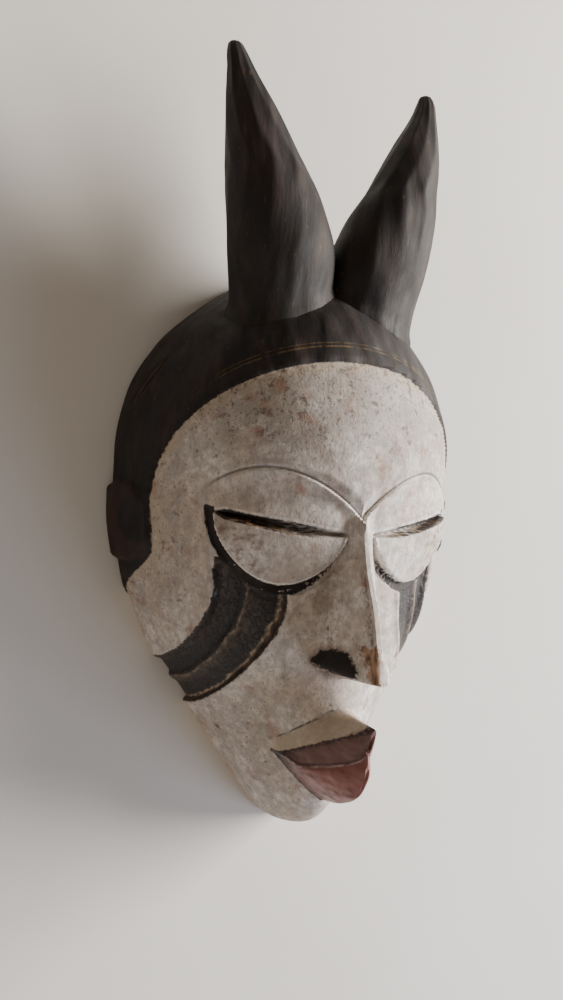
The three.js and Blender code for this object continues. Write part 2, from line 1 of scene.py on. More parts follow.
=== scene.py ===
"""A carved wooden face mask with a dark cap of hair and two horns, lying face up on a pale floor."""

import logging
import math
from collections.abc import Callable
from dataclasses import dataclass, field
from enum import Enum

import bmesh
import bpy
import numpy as np
from mathutils import Matrix, Vector


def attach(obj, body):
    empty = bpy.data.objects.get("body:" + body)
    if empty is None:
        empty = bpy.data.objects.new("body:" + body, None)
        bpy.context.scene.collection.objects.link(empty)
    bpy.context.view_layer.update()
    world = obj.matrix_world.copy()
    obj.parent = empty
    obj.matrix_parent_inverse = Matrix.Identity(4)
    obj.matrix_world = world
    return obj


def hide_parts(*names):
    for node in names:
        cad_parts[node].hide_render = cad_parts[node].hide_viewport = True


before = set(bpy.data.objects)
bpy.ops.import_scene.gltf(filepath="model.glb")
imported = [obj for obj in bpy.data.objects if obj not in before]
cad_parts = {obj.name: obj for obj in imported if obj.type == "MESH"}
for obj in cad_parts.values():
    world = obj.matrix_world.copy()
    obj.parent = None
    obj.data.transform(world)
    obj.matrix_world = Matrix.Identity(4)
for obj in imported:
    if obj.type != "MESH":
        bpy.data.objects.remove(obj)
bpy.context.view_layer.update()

LOG = logging.getLogger("mask")
MM = 0.001
Level = Callable[[np.ndarray, np.ndarray], np.ndarray]
Shape = bmesh.types.BMesh
Socket = bpy.types.NodeSocket


def ease(start: np.ndarray | float, end: np.ndarray | float, x: np.ndarray) -> np.ndarray:
    """Runs smoothly from 0 at the start to 1 at the end, whichever is larger.

    Args:
        start: Where it is 0.
        end: Where it is 1.
        x: The places asked for.

    Returns:
        A value from 0 to 1 for each place.
    """
    t = np.clip((x - start) / (end - start), 0.0, 1.0)
    return t * t * (3.0 - 2.0 * t)


def hump(x: np.ndarray, half: np.ndarray | float) -> np.ndarray:
    """Gives a smooth hump: 1 at 0, and 0 beyond the half width."""
    return (1.0 - np.minimum(np.abs(x) / half, 1.0) ** 2) ** 2


def lerp(a: np.ndarray | float, b: np.ndarray | float, t: np.ndarray | float) -> np.ndarray:
    """Goes straight from a at t = 0 to b at t = 1."""
    return a + (b - a) * t


def wander(points: np.ndarray, size: float, seed: int) -> np.ndarray:
    """Makes a smooth uneven field from a few crossing waves, as a carver's hand leaves it.

    Args:
        points: Places in millimetres, one row each.
        size: Usual distance between two high spots, in millimetres.
        seed: Picks one such field.

    Returns:
        Values of about -1 to 1.
    """
    draw = np.random.default_rng(seed)
    total = np.zeros(len(points))
    waves = 9
    for _ in range(waves):
        way = draw.normal(size=points.shape[1])
        way *= draw.uniform(0.7, 1.5) * math.tau / (size * np.linalg.norm(way))
        total += np.sin(points @ way + draw.uniform(0.0, math.tau))
    return total / math.sqrt(waves / 2.0) / 2.0


def around_axis(radius: np.ndarray, angle: np.ndarray, y: np.ndarray) -> np.ndarray:
    """Gives rows of points by their distance from the upright axis, angle from the front and height."""
    return np.stack([radius * np.sin(angle), y, radius * np.cos(angle)], axis=1)


def ball(turns: int, rings: int) -> tuple[Shape, np.ndarray]:
    """Makes a ball of radius 1.

    Args:
        turns: How many points go round it.
        rings: How many lie from pole to pole.

    Returns:
        The ball's mesh and its points, one row each.
    """
    shape = bmesh.new()
    bmesh.ops.create_uvsphere(shape, u_segments=turns, v_segments=rings, radius=1.0)
    return shape, np.array([vert.co[:] for vert in shape.verts])


def move_points(shape: Shape, places: np.ndarray) -> None:
    """Moves each point of a shape to its row of the places."""
    for vert, place in zip(shape.verts, places):
        vert.co = place


def into_scene(name: str, data: bpy.types.ID) -> bpy.types.Object:
    """Puts a mesh, lamp or camera into the scene as an object.

    Args:
        name: The object's name.
        data: What the object holds.

    Returns:
        The object.
    """
    thing = bpy.data.objects.new(name, data)
    bpy.context.scene.collection.objects.link(thing)
    return thing


def solid(name: str, shape: Shape) -> bpy.types.Object:
    """Puts a shape into the scene as an object.

    Args:
        name: The object's name.
        shape: The shape, which is used up.

    Returns:
        The object.
    """
    mesh = bpy.data.meshes.new(name)
    shape.to_mesh(mesh)
    shape.free()
    return into_scene(name, mesh)


def face_outwards(shape: Shape) -> None:
    """Turns all faces of a closed shape outwards.

    Args:
        shape: The shape, changed in place.
    """
    bmesh.ops.recalc_face_normals(shape, faces=shape.faces)
    if shape.calc_volume(signed=True) < 0.0:
        bmesh.ops.reverse_faces(shape, faces=shape.faces)


class SmoothCurve:
    """Smooth curve through points that never overshoots them."""

    def __init__(self, xs: list[float], ys: list[float]) -> None:
        """Works out the slope at each point.

        Args:
            xs: Positions in rising order.
            ys: The value at each position.
        """
        self.xs = np.array(xs)
        self.ys = np.array(ys)
        step = np.diff(self.xs)
        rise = np.diff(self.ys) / step
        self.slope = np.empty(len(xs))
        self.slope[0] = rise[0]
        self.slope[-1] = rise[-1]
        for i in range(1, len(xs) - 1):
            if rise[i - 1] * rise[i] <= 0.0:
                self.slope[i] = 0.0
                continue
            before = 2.0 * step[i] + step[i - 1]
            after = step[i] + 2.0 * step[i - 1]
            self.slope[i] = (before + after) / (before / rise[i - 1] + after / rise[i])

    def __call__(self, x: np.ndarray) -> np.ndarray:
        """Gives the curve's value at each position, held at the two ends.

        Args:
            x: The positions asked for.

        Returns:
            One value for each position.
        """
        at = np.clip(x, self.xs[0], self.xs[-1])
        i = np.clip(np.searchsorted(self.xs, at, side="right") - 1, 0, len(self.xs) - 2)
        span = self.xs[i + 1] - self.xs[i]
        t = (at - self.xs[i]) / span
        rest = 1.0 - t
        start = self.ys[i] * (1.0 + 2.0 * t) * rest**2 + self.slope[i] * span * t * rest**2
        end = self.ys[i + 1] * (3.0 - 2.0 * t) * t**2 - self.slope[i + 1] * span * rest * t**2
        return start + end


@dataclass
class HeadForm:
    """The plain head before it is carved: ovals stacked from the chin to the crown, in millimetres.

    Heights run up from the root of the nose. Each section holds its share of the height, half width,
    depth and squareness.
    """

    height: float = 342.0
    width: float = 213.2
    depth: float = 111.4
    root_share: float = 0.532
    wall: float = 13.0
    least: float = 0.01
    sections: tuple[tuple[float, float, float, float], ...] = (
        (0.0, 0.0, 0.0, 2.0),
        (0.009, 0.098, 0.229, 2.0),
        (0.029, 0.174, 0.413, 1.95),
        (0.07, 0.27, 0.543, 1.85),
        (0.137, 0.418, 0.652, 1.74),
        (0.228, 0.605, 0.736, 1.7),
        (0.342, 0.836, 0.837, 1.76),
        (0.459, 0.957, 0.92, 1.84),
        (0.561, 1.0, 0.987, 1.91),
        (0.664, 0.993, 1.0, 1.97),
        (0.766, 0.926, 0.934, 1.98),
        (0.854, 0.762, 0.824, 2.02),
        (0.927, 0.52, 0.635, 2.0),
        (0.971, 0.317, 0.426, 2.0),
        (0.993, 0.144, 0.224, 2.0),
        (1.0, 0.0, 0.0, 2.0),
    )
    chin: float = field(init=False)
    crown: float = field(init=False)
    middle: float = field(init=False)
    tall: float = field(init=False)
    wide: float = field(init=False)
    deep: float = field(init=False)
    curves: list[SmoothCurve] = field(init=False)

    def __post_init__(self) -> None:
        """Works out the heights, the carver's three measures and the smooth curves."""
        self.chin = -self.root_share * self.height
        self.crown = self.chin + self.height
        self.middle = self.chin + self.height / 2.0
        self.tall = self.height / 100.0
        self.wide = self.width / 100.0
        self.deep = self.depth / 100.0
        shares, *columns = zip(*self.sections)
        self.curves = [SmoothCurve(shares, column) for column in columns]

    def section(self, y: np.ndarray) -> tuple[np.ndarray, np.ndarray, np.ndarray]:
        """Gives half width, depth and squareness at each height.

        Args:
            y: Heights in millimetres over the root of the nose.

        Returns:
            The three, the first two in millimetres, with one value for each height.
        """
        share = np.clip((y - self.chin) / self.height, 0.0, 1.0)
        wide, deep, square = (curve(share) for curve in self.curves)
        half = np.maximum(wide * self.width / 2.0, self.least)
        return half, np.maximum(deep * self.depth, self.least), square

    def radius(self, angle: np.ndarray, y: np.ndarray) -> np.ndarray:
        """Gives the plain head's distance from the upright axis, by angle from the front and height."""
        wide, deep, square = self.section(y)
        return self.oval(angle, wide, deep, square)

    def hollow_radius(self, angle: np.ndarray, y: np.ndarray) -> np.ndarray:
        """Gives the same for the hollow, which leaves the wall round it.

        Args:
            angle: Radians round from the front.
            y: Heights in millimetres over the root of the nose.

        Returns:
            The radius in millimetres for each place.
        """
        half = self.height / 2.0
        wide, deep, square = self.section(self.middle + (y - self.middle) * half / (half - self.wall))
        wide = wide * (1.0 - 2.0 * self.wall / self.width)
        return self.oval(angle, wide, deep * (1.0 - self.wall / self.depth), square)

    def front_height(self, x: np.ndarray, y: np.ndarray) -> np.ndarray:
        """Gives the plain head's height over the rim plane at a place seen from the front."""
        wide, deep, square = self.section(y)
        return deep * np.maximum(1.0 - (np.abs(x) / wide) ** square, 0.0) ** (1.0 / square)

    @staticmethod
    def oval(angle: np.ndarray, wide: np.ndarray, deep: np.ndarray, square: np.ndarray) -> np.ndarray:
        """Gives an oval's radius in the direction of each angle.

        Args:
            angle: Radians round from the front.
            wide: Half widths.
            deep: Depths.
            square: Squareness, 2 for an ellipse.

        Returns:
            One radius for each angle.
        """
        across = (np.abs(np.sin(angle)) / wide) ** square
        out = (np.abs(np.cos(angle)) / deep) ** square
        return (across + out) ** (-1.0 / square)


@dataclass
class Places:
    """Places on the head, as the carver finds them."""

    form: HeadForm
    angle: np.ndarray
    y: np.ndarray
    p: np.ndarray = field(init=False)
    plain: np.ndarray = field(init=False)

    def __post_init__(self) -> None:
        """Works out the degrees round from the front and the plain radius."""
        self.p = np.abs(np.degrees(self.angle))
        self.plain = self.form.radius(self.angle, self.y)

    def distance_to(self, level: Level) -> np.ndarray:
        """Gives the signed distance in millimetres to the line where a level is 1.

        Args:
            level: Gives the level by degrees round and height.

        Returns:
            One value for each place, above 0 where the level is over 1.
        """
        step = 0.05
        flattest = 1e-4
        across = np.radians(self.plain)
        sideways = (level(self.p + step, self.y) - level(self.p - step, self.y)) / (2.0 * step * across)
        upwards = (level(self.p, self.y + step) - level(self.p, self.y - step)) / (2.0 * step)
        return (level(self.p, self.y) - 1.0) / np.maximum(np.hypot(sideways, upwards), flattest)

    def lift_to(self, height: Level) -> np.ndarray:
        """Gives how far a form, given by its height seen from the front, stands over the plain head.

        Args:
            height: Height over the rim plane by place across and place up.

        Returns:
            The lift along each ray from the upright axis.
        """
        low = self.plain.copy()
        high = self.plain + self.form.depth / 2.0
        halvings = 18
        for _ in range(halvings):
            middle = (low + high) / 2.0
            over = middle * np.cos(self.angle) > height(middle * np.sin(self.angle), self.y)
            high = np.where(over, middle, high)
            low = np.where(over, low, middle)
        return low - self.plain


@dataclass
class Hairline:
    """The step from the face up to the cap of hair, with two cut lines that follow it."""

    form: HeadForm
    step: float = 2.2
    reach: float = 66.5
    rise: float = 25.4
    burn_top: float = -3.5
    burn_end: float = -12.3
    line_top: float = 9.0
    line_side: float = 3.2
    line_gap: float = 2.1
    line_depth: float = 0.45

    def level(self, p: np.ndarray, y: np.ndarray) -> np.ndarray:
        """Is 1 on the hairline, less on the face and more in the hair.

        Args:
            p: Degrees round from the front.
            y: Heights in millimetres over the root of the nose.

        Returns:
            One value for each place.
        """
        tall = self.form.tall
        above = np.hypot(p / self.reach, y / (self.rise * tall))
        edge = self.reach + (90.0 - self.reach) * ease(self.burn_top * tall, self.burn_end * tall, y)
        return np.where(y > 0.0, above, p / edge)

    def into_hair(self, places: Places) -> np.ndarray:
        """Gives the distance in millimetres from the hairline into the hair."""
        return places.distance_to(self.level)

    def past_line(self, places: Places) -> np.ndarray:
        """Gives the distance past the first of the two cut lines, which near the hairline at the sides."""
        high = ease(0.0, self.rise * self.form.tall, places.y)
        return self.into_hair(places) - lerp(self.line_side, self.line_top, high)

    def cut(self, places: Places) -> np.ndarray:
        """Gives the change of radius in millimetres.

        Args:
            places: Where on the head.

        Returns:
            One value for each place.
        """
        line = self.past_line(places)
        lines = hump(line, 0.9) + 0.7 * hump(line - self.line_gap, 0.8)
        fade = ease(-2.0 * self.form.tall, 4.0 * self.form.tall, places.y)
        return self.step * ease(-0.6, 1.4, self.into_hair(places)) - self.line_depth * lines * fade


@dataclass
class Eye:
    """A closed eye: a slit, the half moon below it and the groove round that."""

    form: HeadForm
    slit_from: float = 4.5
    slit_to: float = 42.0
    slit_depth: float = 4.0
    slit_width: float = 6.4
    lid_height: float = 4.2
    lid_drop: float = 9.05
    groove_depth: float = 1.5
    groove_width: float = 6.0

    def slit_y(self, p: np.ndarray) -> np.ndarray:
        """Gives the height of the slit's middle, which climbs outwards."""
        return self.form.tall * (-1.75 + 3.5 * np.clip((p - self.slit_from) / 37.0, 0.0, 1.2) ** 1.4)

    def slit_half(self, p: np.ndarray) -> np.ndarray:
        """Gives half the slit's width."""
        t = np.clip((p - self.slit_from) / (self.slit_to - self.slit_from), 0.0, 1.0)
        return self.slit_width / 2.0 * np.sin(math.pi * (0.05 + 0.94 * t)) ** 0.7

    def lid_level(self, p: np.ndarray, y: np.ndarray) -> np.ndarray:
        """Is 1 on the edge of the half moon and less inside it.

        Args:
            p: Degrees round from the front.
            y: Heights in millimetres over the root of the nose.

        Returns:
            One value for each place.
        """
        across = (p - self.slit_from) / (self.slit_to + 0.7 - self.slit_from)
        t = np.sign(across) * np.abs(across) ** 1.25
        return np.hypot(2.0 * t - 1.0, (y - self.slit_y(p)) / (self.lid_drop * self.form.tall))

    def out_of_lid(self, places: Places) -> np.ndarray:
        """Gives the distance in millimetres out from the half moon's edge."""
        return places.distance_to(self.lid_level)

    def over_slit(self, places: Places) -> np.ndarray:
        """Gives the height over the slit's middle."""
        return places.y - self.slit_y(places.p)

    def out_of_slit(self, places: Places) -> np.ndarray:
        """Gives the distance in millimetres out from the slit's edge, less inside it.

        Args:
            places: Where on the head.

        Returns:
            One value for each place.
        """
        across = np.abs(self.over_slit(places)) - self.slit_half(places.p)
        inner = np.radians(self.slit_from - places.p) * places.plain
        outer = np.radians(places.p - self.slit_to) * places.plain
        return np.maximum(across, np.maximum(inner, outer))

    def cut(self, places: Places) -> np.ndarray:
        """Gives the change of radius in millimetres.

        Args:
            places: Where on the head.

        Returns:
            One value for each place.
        """
        tall = self.form.tall
        start, end = self.slit_from, self.slit_to
        p = places.p
        out = self.out_of_lid(places)
        over = self.over_slit(places)
        down = np.clip(-over / (self.lid_drop * tall), 0.0, 1.0)
        lid = ease(0.9, -0.5, out) * ease(0.6, -0.6, over)
        change = self.lid_height * lid * (0.55 + 0.45 * np.sin(math.pi * down**0.8))
        upper = ease(start - 1.0, start + 4.0, p) * ease(end + 3.0, end - 16.0, p)
        change += 0.35 * self.lid_height * upper * ease(-0.6, 0.6, over) * ease(4.5 * tall, 0.0, over)
        groove = ease(self.groove_width, self.groove_width - 1.2, out) * ease(-0.5, 0.9, out)
        below = ease(1.2 * tall, 0.0, over) * ease(start - 1.0, start + 2.0, p)
        change -= self.groove_depth * groove * below
        inside = ease(start - 0.5, start + 1.0, p) * ease(end + 1.0, end - 0.5, p)
        slit = ease(1.0, 0.2, np.abs(over) / np.maximum(self.slit_half(p), 0.3))
        return change - self.slit_depth * inside * slit


@dataclass
class Brow:
    """The thin arched cut of the brow and the hollow between it and the eye."""

    form: HeadForm
    reach: float = 45.0
    depth: float = 2.6
    hollow: float = 3.0
    hollow_to: float = 46.0

    def line_y(self, p: np.ndarray) -> np.ndarray:
        """Gives the height of the brow's cut."""
        turn = np.radians(np.clip(p, 0.0, 56.0) * 180.0 / 56.0)
        return self.form.tall * (0.6 + 7.9 * np.sin(turn) ** 0.8)

    def over_line(self, places: Places) -> np.ndarray:
        """Gives the distance in millimetres above the cut."""
        return places.distance_to(lambda p, y: 1.0 + y - self.line_y(p))

    def cut(self, places: Places, on_face: np.ndarray) -> np.ndarray:
        """Gives the change of radius in millimetres, the hollow only where the face is.

        Args:
            places: Where on the head.
            on_face: 1 on the face and 0 in the hair.

        Returns:
            One value for each place.
        """
        tall = self.form.tall
        below = places.y - self.line_y(places.p)
        socket = ease(0.6 * tall, -2.4 * tall, below) * ease(-13.5 * tall, -6.0 * tall, places.y)
        change = -self.hollow * socket * ease(self.hollow_to, 20.0, places.p) * on_face
        over = self.over_line(places)
        near_nose = ease(32.0, 2.0, places.p)
        line = np.where(over > 0.0, ease(1.6 + 5.0 * near_nose, 0.0, over), ease(-1.2, 0.0, over))
        ends = ease(self.reach + 2.0, self.reach - 2.0, places.p)
        return change - self.depth * (0.35 + 0.65 * near_nose) * ends * line


@dataclass
class CheekBand:
    """The two channels that sweep from under the eye to the rim, with a ridge between them."""

    form: HeadForm
    reach: float = 56.0
    drop: float = 17.5
    middle: float = -8.8
    top: float = -6.2
    outer: float = 0.78
    inner: float = 1.26
    depth: float = 3.4
    lip: float = 1.0

    def level(self, places: Places) -> np.ndarray:
        """Is 1 along the middle ridge and less towards the ear."""
        up = (places.y - self.middle * self.form.tall) / (self.drop * self.form.tall)
        return np.hypot((90.0 - places.p) / self.reach, up)

    def on_cheek(self, places: Places, out_of_lid: np.ndarray, groove: float) -> np.ndarray:
        """Is 1 where the band lies, from the groove round the eye down."""
        top = self.top * self.form.tall
        return ease(groove - 1.0, groove + 0.4, out_of_lid) * ease(top + 2.0, top - 3.0, places.y)

    def cut(self, places: Places, on_cheek: np.ndarray) -> np.ndarray:
        """Gives the change of radius in millimetres.

        Args:
            places: Where on the head.
            on_cheek: 1 where the band lies.

        Returns:
            One value for each place.
        """
        q = self.level(places)
        channel = ease(self.outer + 0.015, self.outer + 0.05, q)
        channel *= ease(self.inner - 0.01, self.inner - 0.05, q)
        ridge = 1.0 - 0.7 * hump(q - 1.0, 0.06)
        borders = hump(q - self.outer + 0.012, 0.03) + hump(q - self.inner - 0.012, 0.03)
        return on_cheek * (self.lip * borders - self.depth * channel * ridge)


@dataclass
class Nose:
    """A straight wedge with a narrow flat ridge and small wings."""

    form: HeadForm
    tip: float = 127.6
    width: float = 38.0
    ridge: float = 3.6
    top: float = 0.6
    end: float = -23.8

    def run(self, y: np.ndarray) -> np.ndarray:
        """Runs from 0 at the root to 1 at the tip."""
        return np.clip((self.top * self.form.tall - y) / ((self.top - self.end) * self.form.tall), 0.0, 1.0)

    def fold_y(self, x: np.ndarray) -> np.ndarray:
        """Gives the height of the nose's lower edge."""
        out = np.clip(2.0 * np.abs(x) / self.width, 0.0, 1.3)
        return self.form.tall * (self.end + 2.4 * out**1.5)

    def height(self, x: np.ndarray, y: np.ndarray) -> np.ndarray:
        """Gives the nose's height over the rim plane, or the plain head's beside it.

        Args:
            x: Millimetres to the side of the middle.
            y: Heights in millimetres over the root of the nose.

        Returns:
            One value for each place.
        """
        form = self.form
        plain = form.front_height(x, y)
        t = self.run(y)
        wing = ease(0.78, 0.93, t)
        half = form.wide * (4.2 + 2.4 * ease(0.0, 0.35, t)) + (self.width / 2.0 - 6.6 * form.wide) * wing
        flat = self.ridge / 2.0 * (0.7 + 0.5 * t)
        side = np.clip((np.abs(x) - flat) / (half - flat), 0.0, 1.0)
        ridge = np.maximum(lerp(101.8 * form.deep, self.tip, t**1.15), plain)
        fold = self.fold_y(x)
        under = ease(fold - 1.6, fold, y) * ease(1.8 * form.tall, -0.6 * form.tall, y)
        return lerp(plain, lerp(ridge, plain, side ** (0.95 + 0.75 * wing)), under)

    def cut(self, places: Places) -> np.ndarray:
        """Gives the change of radius in millimetres.

        Args:
            places: Where on the head.

        Returns:
            One value for each place.
        """
        low, high = self.end * self.form.tall - 2.0, 2.0 * self.form.tall
        near = (places.p < 30.0) & (places.y < high) & (places.y > low)
        return np.where(near, places.lift_to(self.height), 0.0)


@dataclass
class Mouth:
    """Full lips that stand out to a sharp upper edge and fall away to the chin."""

    form: HeadForm
    peak: float = 119.5
    width: float = 57.0

    def crease_y(self, u: np.ndarray) -> np.ndarray:
        """Gives the height of the crease above the upper lip, u running from the middle to the corner."""
        return self.form.tall * (-29.5 - 5.6 * (np.hypot(u, 0.15) - 0.15) ** 1.2)

    def edge_y(self, u: np.ndarray) -> np.ndarray:
        """Gives the height of the upper lip's edge."""
        return self.form.tall * (-30.4 - 6.15 * u)

    def line_y(self, u: np.ndarray) -> np.ndarray:
        """Gives the height of the line between the lips."""
        return self.form.tall * (-33.2 - 5.1 * u**0.35 + 1.5 * ease(0.75, 1.0, u))

    def foot_y(self, u: np.ndarray) -> np.ndarray:
        """Gives the height of the lower lip's foot."""
        return self.form.tall * (-36.8 - 8.5 * (1.0 - u**1.3))

    def height(self, x: np.ndarray, y: np.ndarray) -> np.ndarray:
        """Gives the lips' height over the rim plane, or the plain head's round them.

        Args:
            x: Millimetres to the side of the middle.
            y: Heights in millimetres over the root of the nose.

        Returns:
            One value for each place.
        """
        form = self.form
        u = 2.0 * np.abs(x) / self.width
        plain = form.front_height(x, y)
        inside = np.minimum(u, 1.0)
        crease, edge_y = self.crease_y(inside), self.edge_y(inside)
        line_y, foot = self.line_y(inside), self.foot_y(inside)
        edge = self.peak - 49.4 * form.deep * (np.hypot(inside, 0.05) - 0.05)
        line = edge - 7.2 * form.deep * (1.0 - inside)
        shelf = lerp(form.front_height(x, crease), edge, (crease - y) / (crease - edge_y))
        upper_t = np.clip((edge_y - y) / (edge_y - line_y), 0.0, 1.0)
        upper = lerp(edge, line, upper_t**1.5)
        lower_t = np.clip((line_y - y) / (line_y - foot), 0.0, 1.0)
        swell = (1.0 - lower_t**2.6) ** 0.6
        lower = lerp(plain, line + 1.5 * hump(lower_t - 0.25, 0.25), swell)
        lips = np.where(y > edge_y, shelf, np.where(y > line_y, upper, lower))
        away = (u > 1.05) | (y > crease) | (y < foot)
        return np.where(away, plain, lerp(lips, plain, ease(1.0, 1.05, u)))

    def cut(self, places: Places) -> np.ndarray:
        """Gives the change of radius in millimetres."""
        near = (places.p < 40.0) & (places.y < self.crease_y(np.zeros(1))[0])
        return np.where(near, places.lift_to(self.height), 0.0)


@dataclass
class Ear:
    """A rounded block on the hair with a hollow that opens towards the face."""

    form: HeadForm
    height: float = 5.8
    hollow: float = 4.0
    front: float = 14.5
    reach: float = 24.2
    middle: float = 0.9
    half_tall: float = 7.0
    squareness: float = 2.8
    hollow_reach: float = 16.0
    hollow_tall: float = 4.4

    def level(self, places: Places) -> np.ndarray:
        """Is 1 on the ear's outline and 0 at its middle, seen from the side.

        Args:
            places: Where on the head.

        Returns:
            One value for each place.
        """
        z = places.plain * np.cos(places.angle)
        along = np.abs((z - self.front * self.form.deep) / (self.reach * self.form.deep))
        up = np.abs((places.y - self.middle * self.form.tall) / (self.half_tall * self.form.tall))
        return (along**self.squareness + up**self.squareness) ** (1.0 / self.squareness)

    def hollow_level(self, places: Places) -> np.ndarray:
        """Is 0 at the deepest place of the hollow and 1 on its edge.

        Args:
            places: Where on the head.

        Returns:
            One value for each place.
        """
        deep, tall = self.form.deep, self.form.tall
        along = places.plain * np.cos(places.angle) - (self.front + 0.8 * self.reach) * deep
        up = (places.y - self.middle * tall) / (self.hollow_tall * tall)
        return np.hypot(along / (self.hollow_reach * deep), up)

    def cut(self, places: Places, hair_step: float) -> np.ndarray:
        """Gives the change of radius in millimetres over the hair's own.

        Args:
            places: Where on the head.
            hair_step: How far the hair stands over the face.

        Returns:
            One value for each place.
        """
        tall = self.form.tall
        on_side = (places.p > 55.0) & (np.abs(places.y - self.middle * tall) < self.half_tall * tall)
        ear = ease(1.0, 0.86, self.level(places)) * on_side
        return ear * (self.height - hair_step - self.hollow * hump(self.hollow_level(places), 1.0))


@dataclass
class Gouge:
    """An old slanting gouge in the hair on the wearer's right."""

    form: HeadForm
    depth: float = 2.5
    width: float = 5.0
    start: tuple[float, float] = (77.5, 20.2)
    end: tuple[float, float] = (65.5, 27.5)

    def off_line(self, places: Places) -> tuple[np.ndarray, np.ndarray]:
        """Gives the place along the gouge from 0 to 1 and the distance off its line.

        Args:
            places: Where on the head.

        Returns:
            The two, with one value for each place.
        """
        tall = self.form.tall
        along = (places.y - self.start[1] * tall) / ((self.end[1] - self.start[1]) * tall)
        off = np.radians(places.p - lerp(self.start[0], self.end[0], along)) * places.plain
        return along, off

    def shape(self, places: Places) -> np.ndarray:
        """Is 1 in the middle of the gouge and 0 outside it.

        Args:
            places: Where on the head.

        Returns:
            One value for each place.
        """
        along, off = self.off_line(places)
        inside = (places.angle < 0.0) & (along > 0.0) & (along < 1.0)
        half = self.width / 2.0 * (0.3 + np.sin(math.pi * np.clip(along, 0.0, 1.0)))
        return hump(off, half) * inside

    def cut(self, places: Places) -> np.ndarray:
        """Gives the change of radius in millimetres."""
        return -self.depth * self.shape(places)


@dataclass
class Carving:
    """All that is cut into the head and left standing on it."""

    form: HeadForm = field(default_factory=HeadForm)
    rim_round: float = 1.6
    unevenness: float = 0.35

    def __post_init__(self) -> None:
        """Sets out the parts of the carving on the head."""
        self.hairline = Hairline(self.form)
        self.eye = Eye(self.form)
        self.brow = Brow(self.form)
        self.band = CheekBand(self.form)
        self.nose = Nose(self.form)
        self.mouth = Mouth(self.form)
        self.ear = Ear(self.form)
        self.gouge = Gouge(self.form)

    def radius(self, angle: np.ndarray, y: np.ndarray) -> np.ndarray:
        """Gives the carved head's distance from the upright axis.

        Args:
            angle: Radians round from the front.
            y: Heights in millimetres over the root of the nose.

        Returns:
            The radius in millimetres for each place.
        """
        places = Places(self.form, angle, y)
        on_face = ease(0.5, -1.5, self.hairline.into_hair(places))
        out_of_lid = self.eye.out_of_lid(places)
        on_cheek = self.band.on_cheek(places, out_of_lid, self.eye.groove_width)
        change = self.hairline.cut(places) + self.brow.cut(places, on_face)
        change += self.eye.cut(places) + self.band.cut(places, on_cheek)
        change += self.nose.cut(places) + self.mouth.cut(places)
        change += self.ear.cut(places, self.hairline.step) + self.gouge.cut(places)
        change += self.hand_marks(places)
        return places.plain + change * ease(0.0, 14.0, places.plain)

    def hand_marks(self, places: Places) -> np.ndarray:
        """Gives the slight unevenness of a hand-cut surface and its rubbed outer rim.

        Args:
            places: Where on the head.

        Returns:
            The change of radius in millimetres for each place.
        """
        spots = around_axis(places.plain, places.angle, places.y)
        z = spots[:, 2]
        uneven = self.unevenness * wander(spots, 46.0, 3) + 0.4 * self.unevenness * wander(spots, 19.0, 8)
        near_rim = ease(5.0, 0.0, z)
        return uneven * ease(0.0, 12.0, z) - self.rim_round * near_rim**2


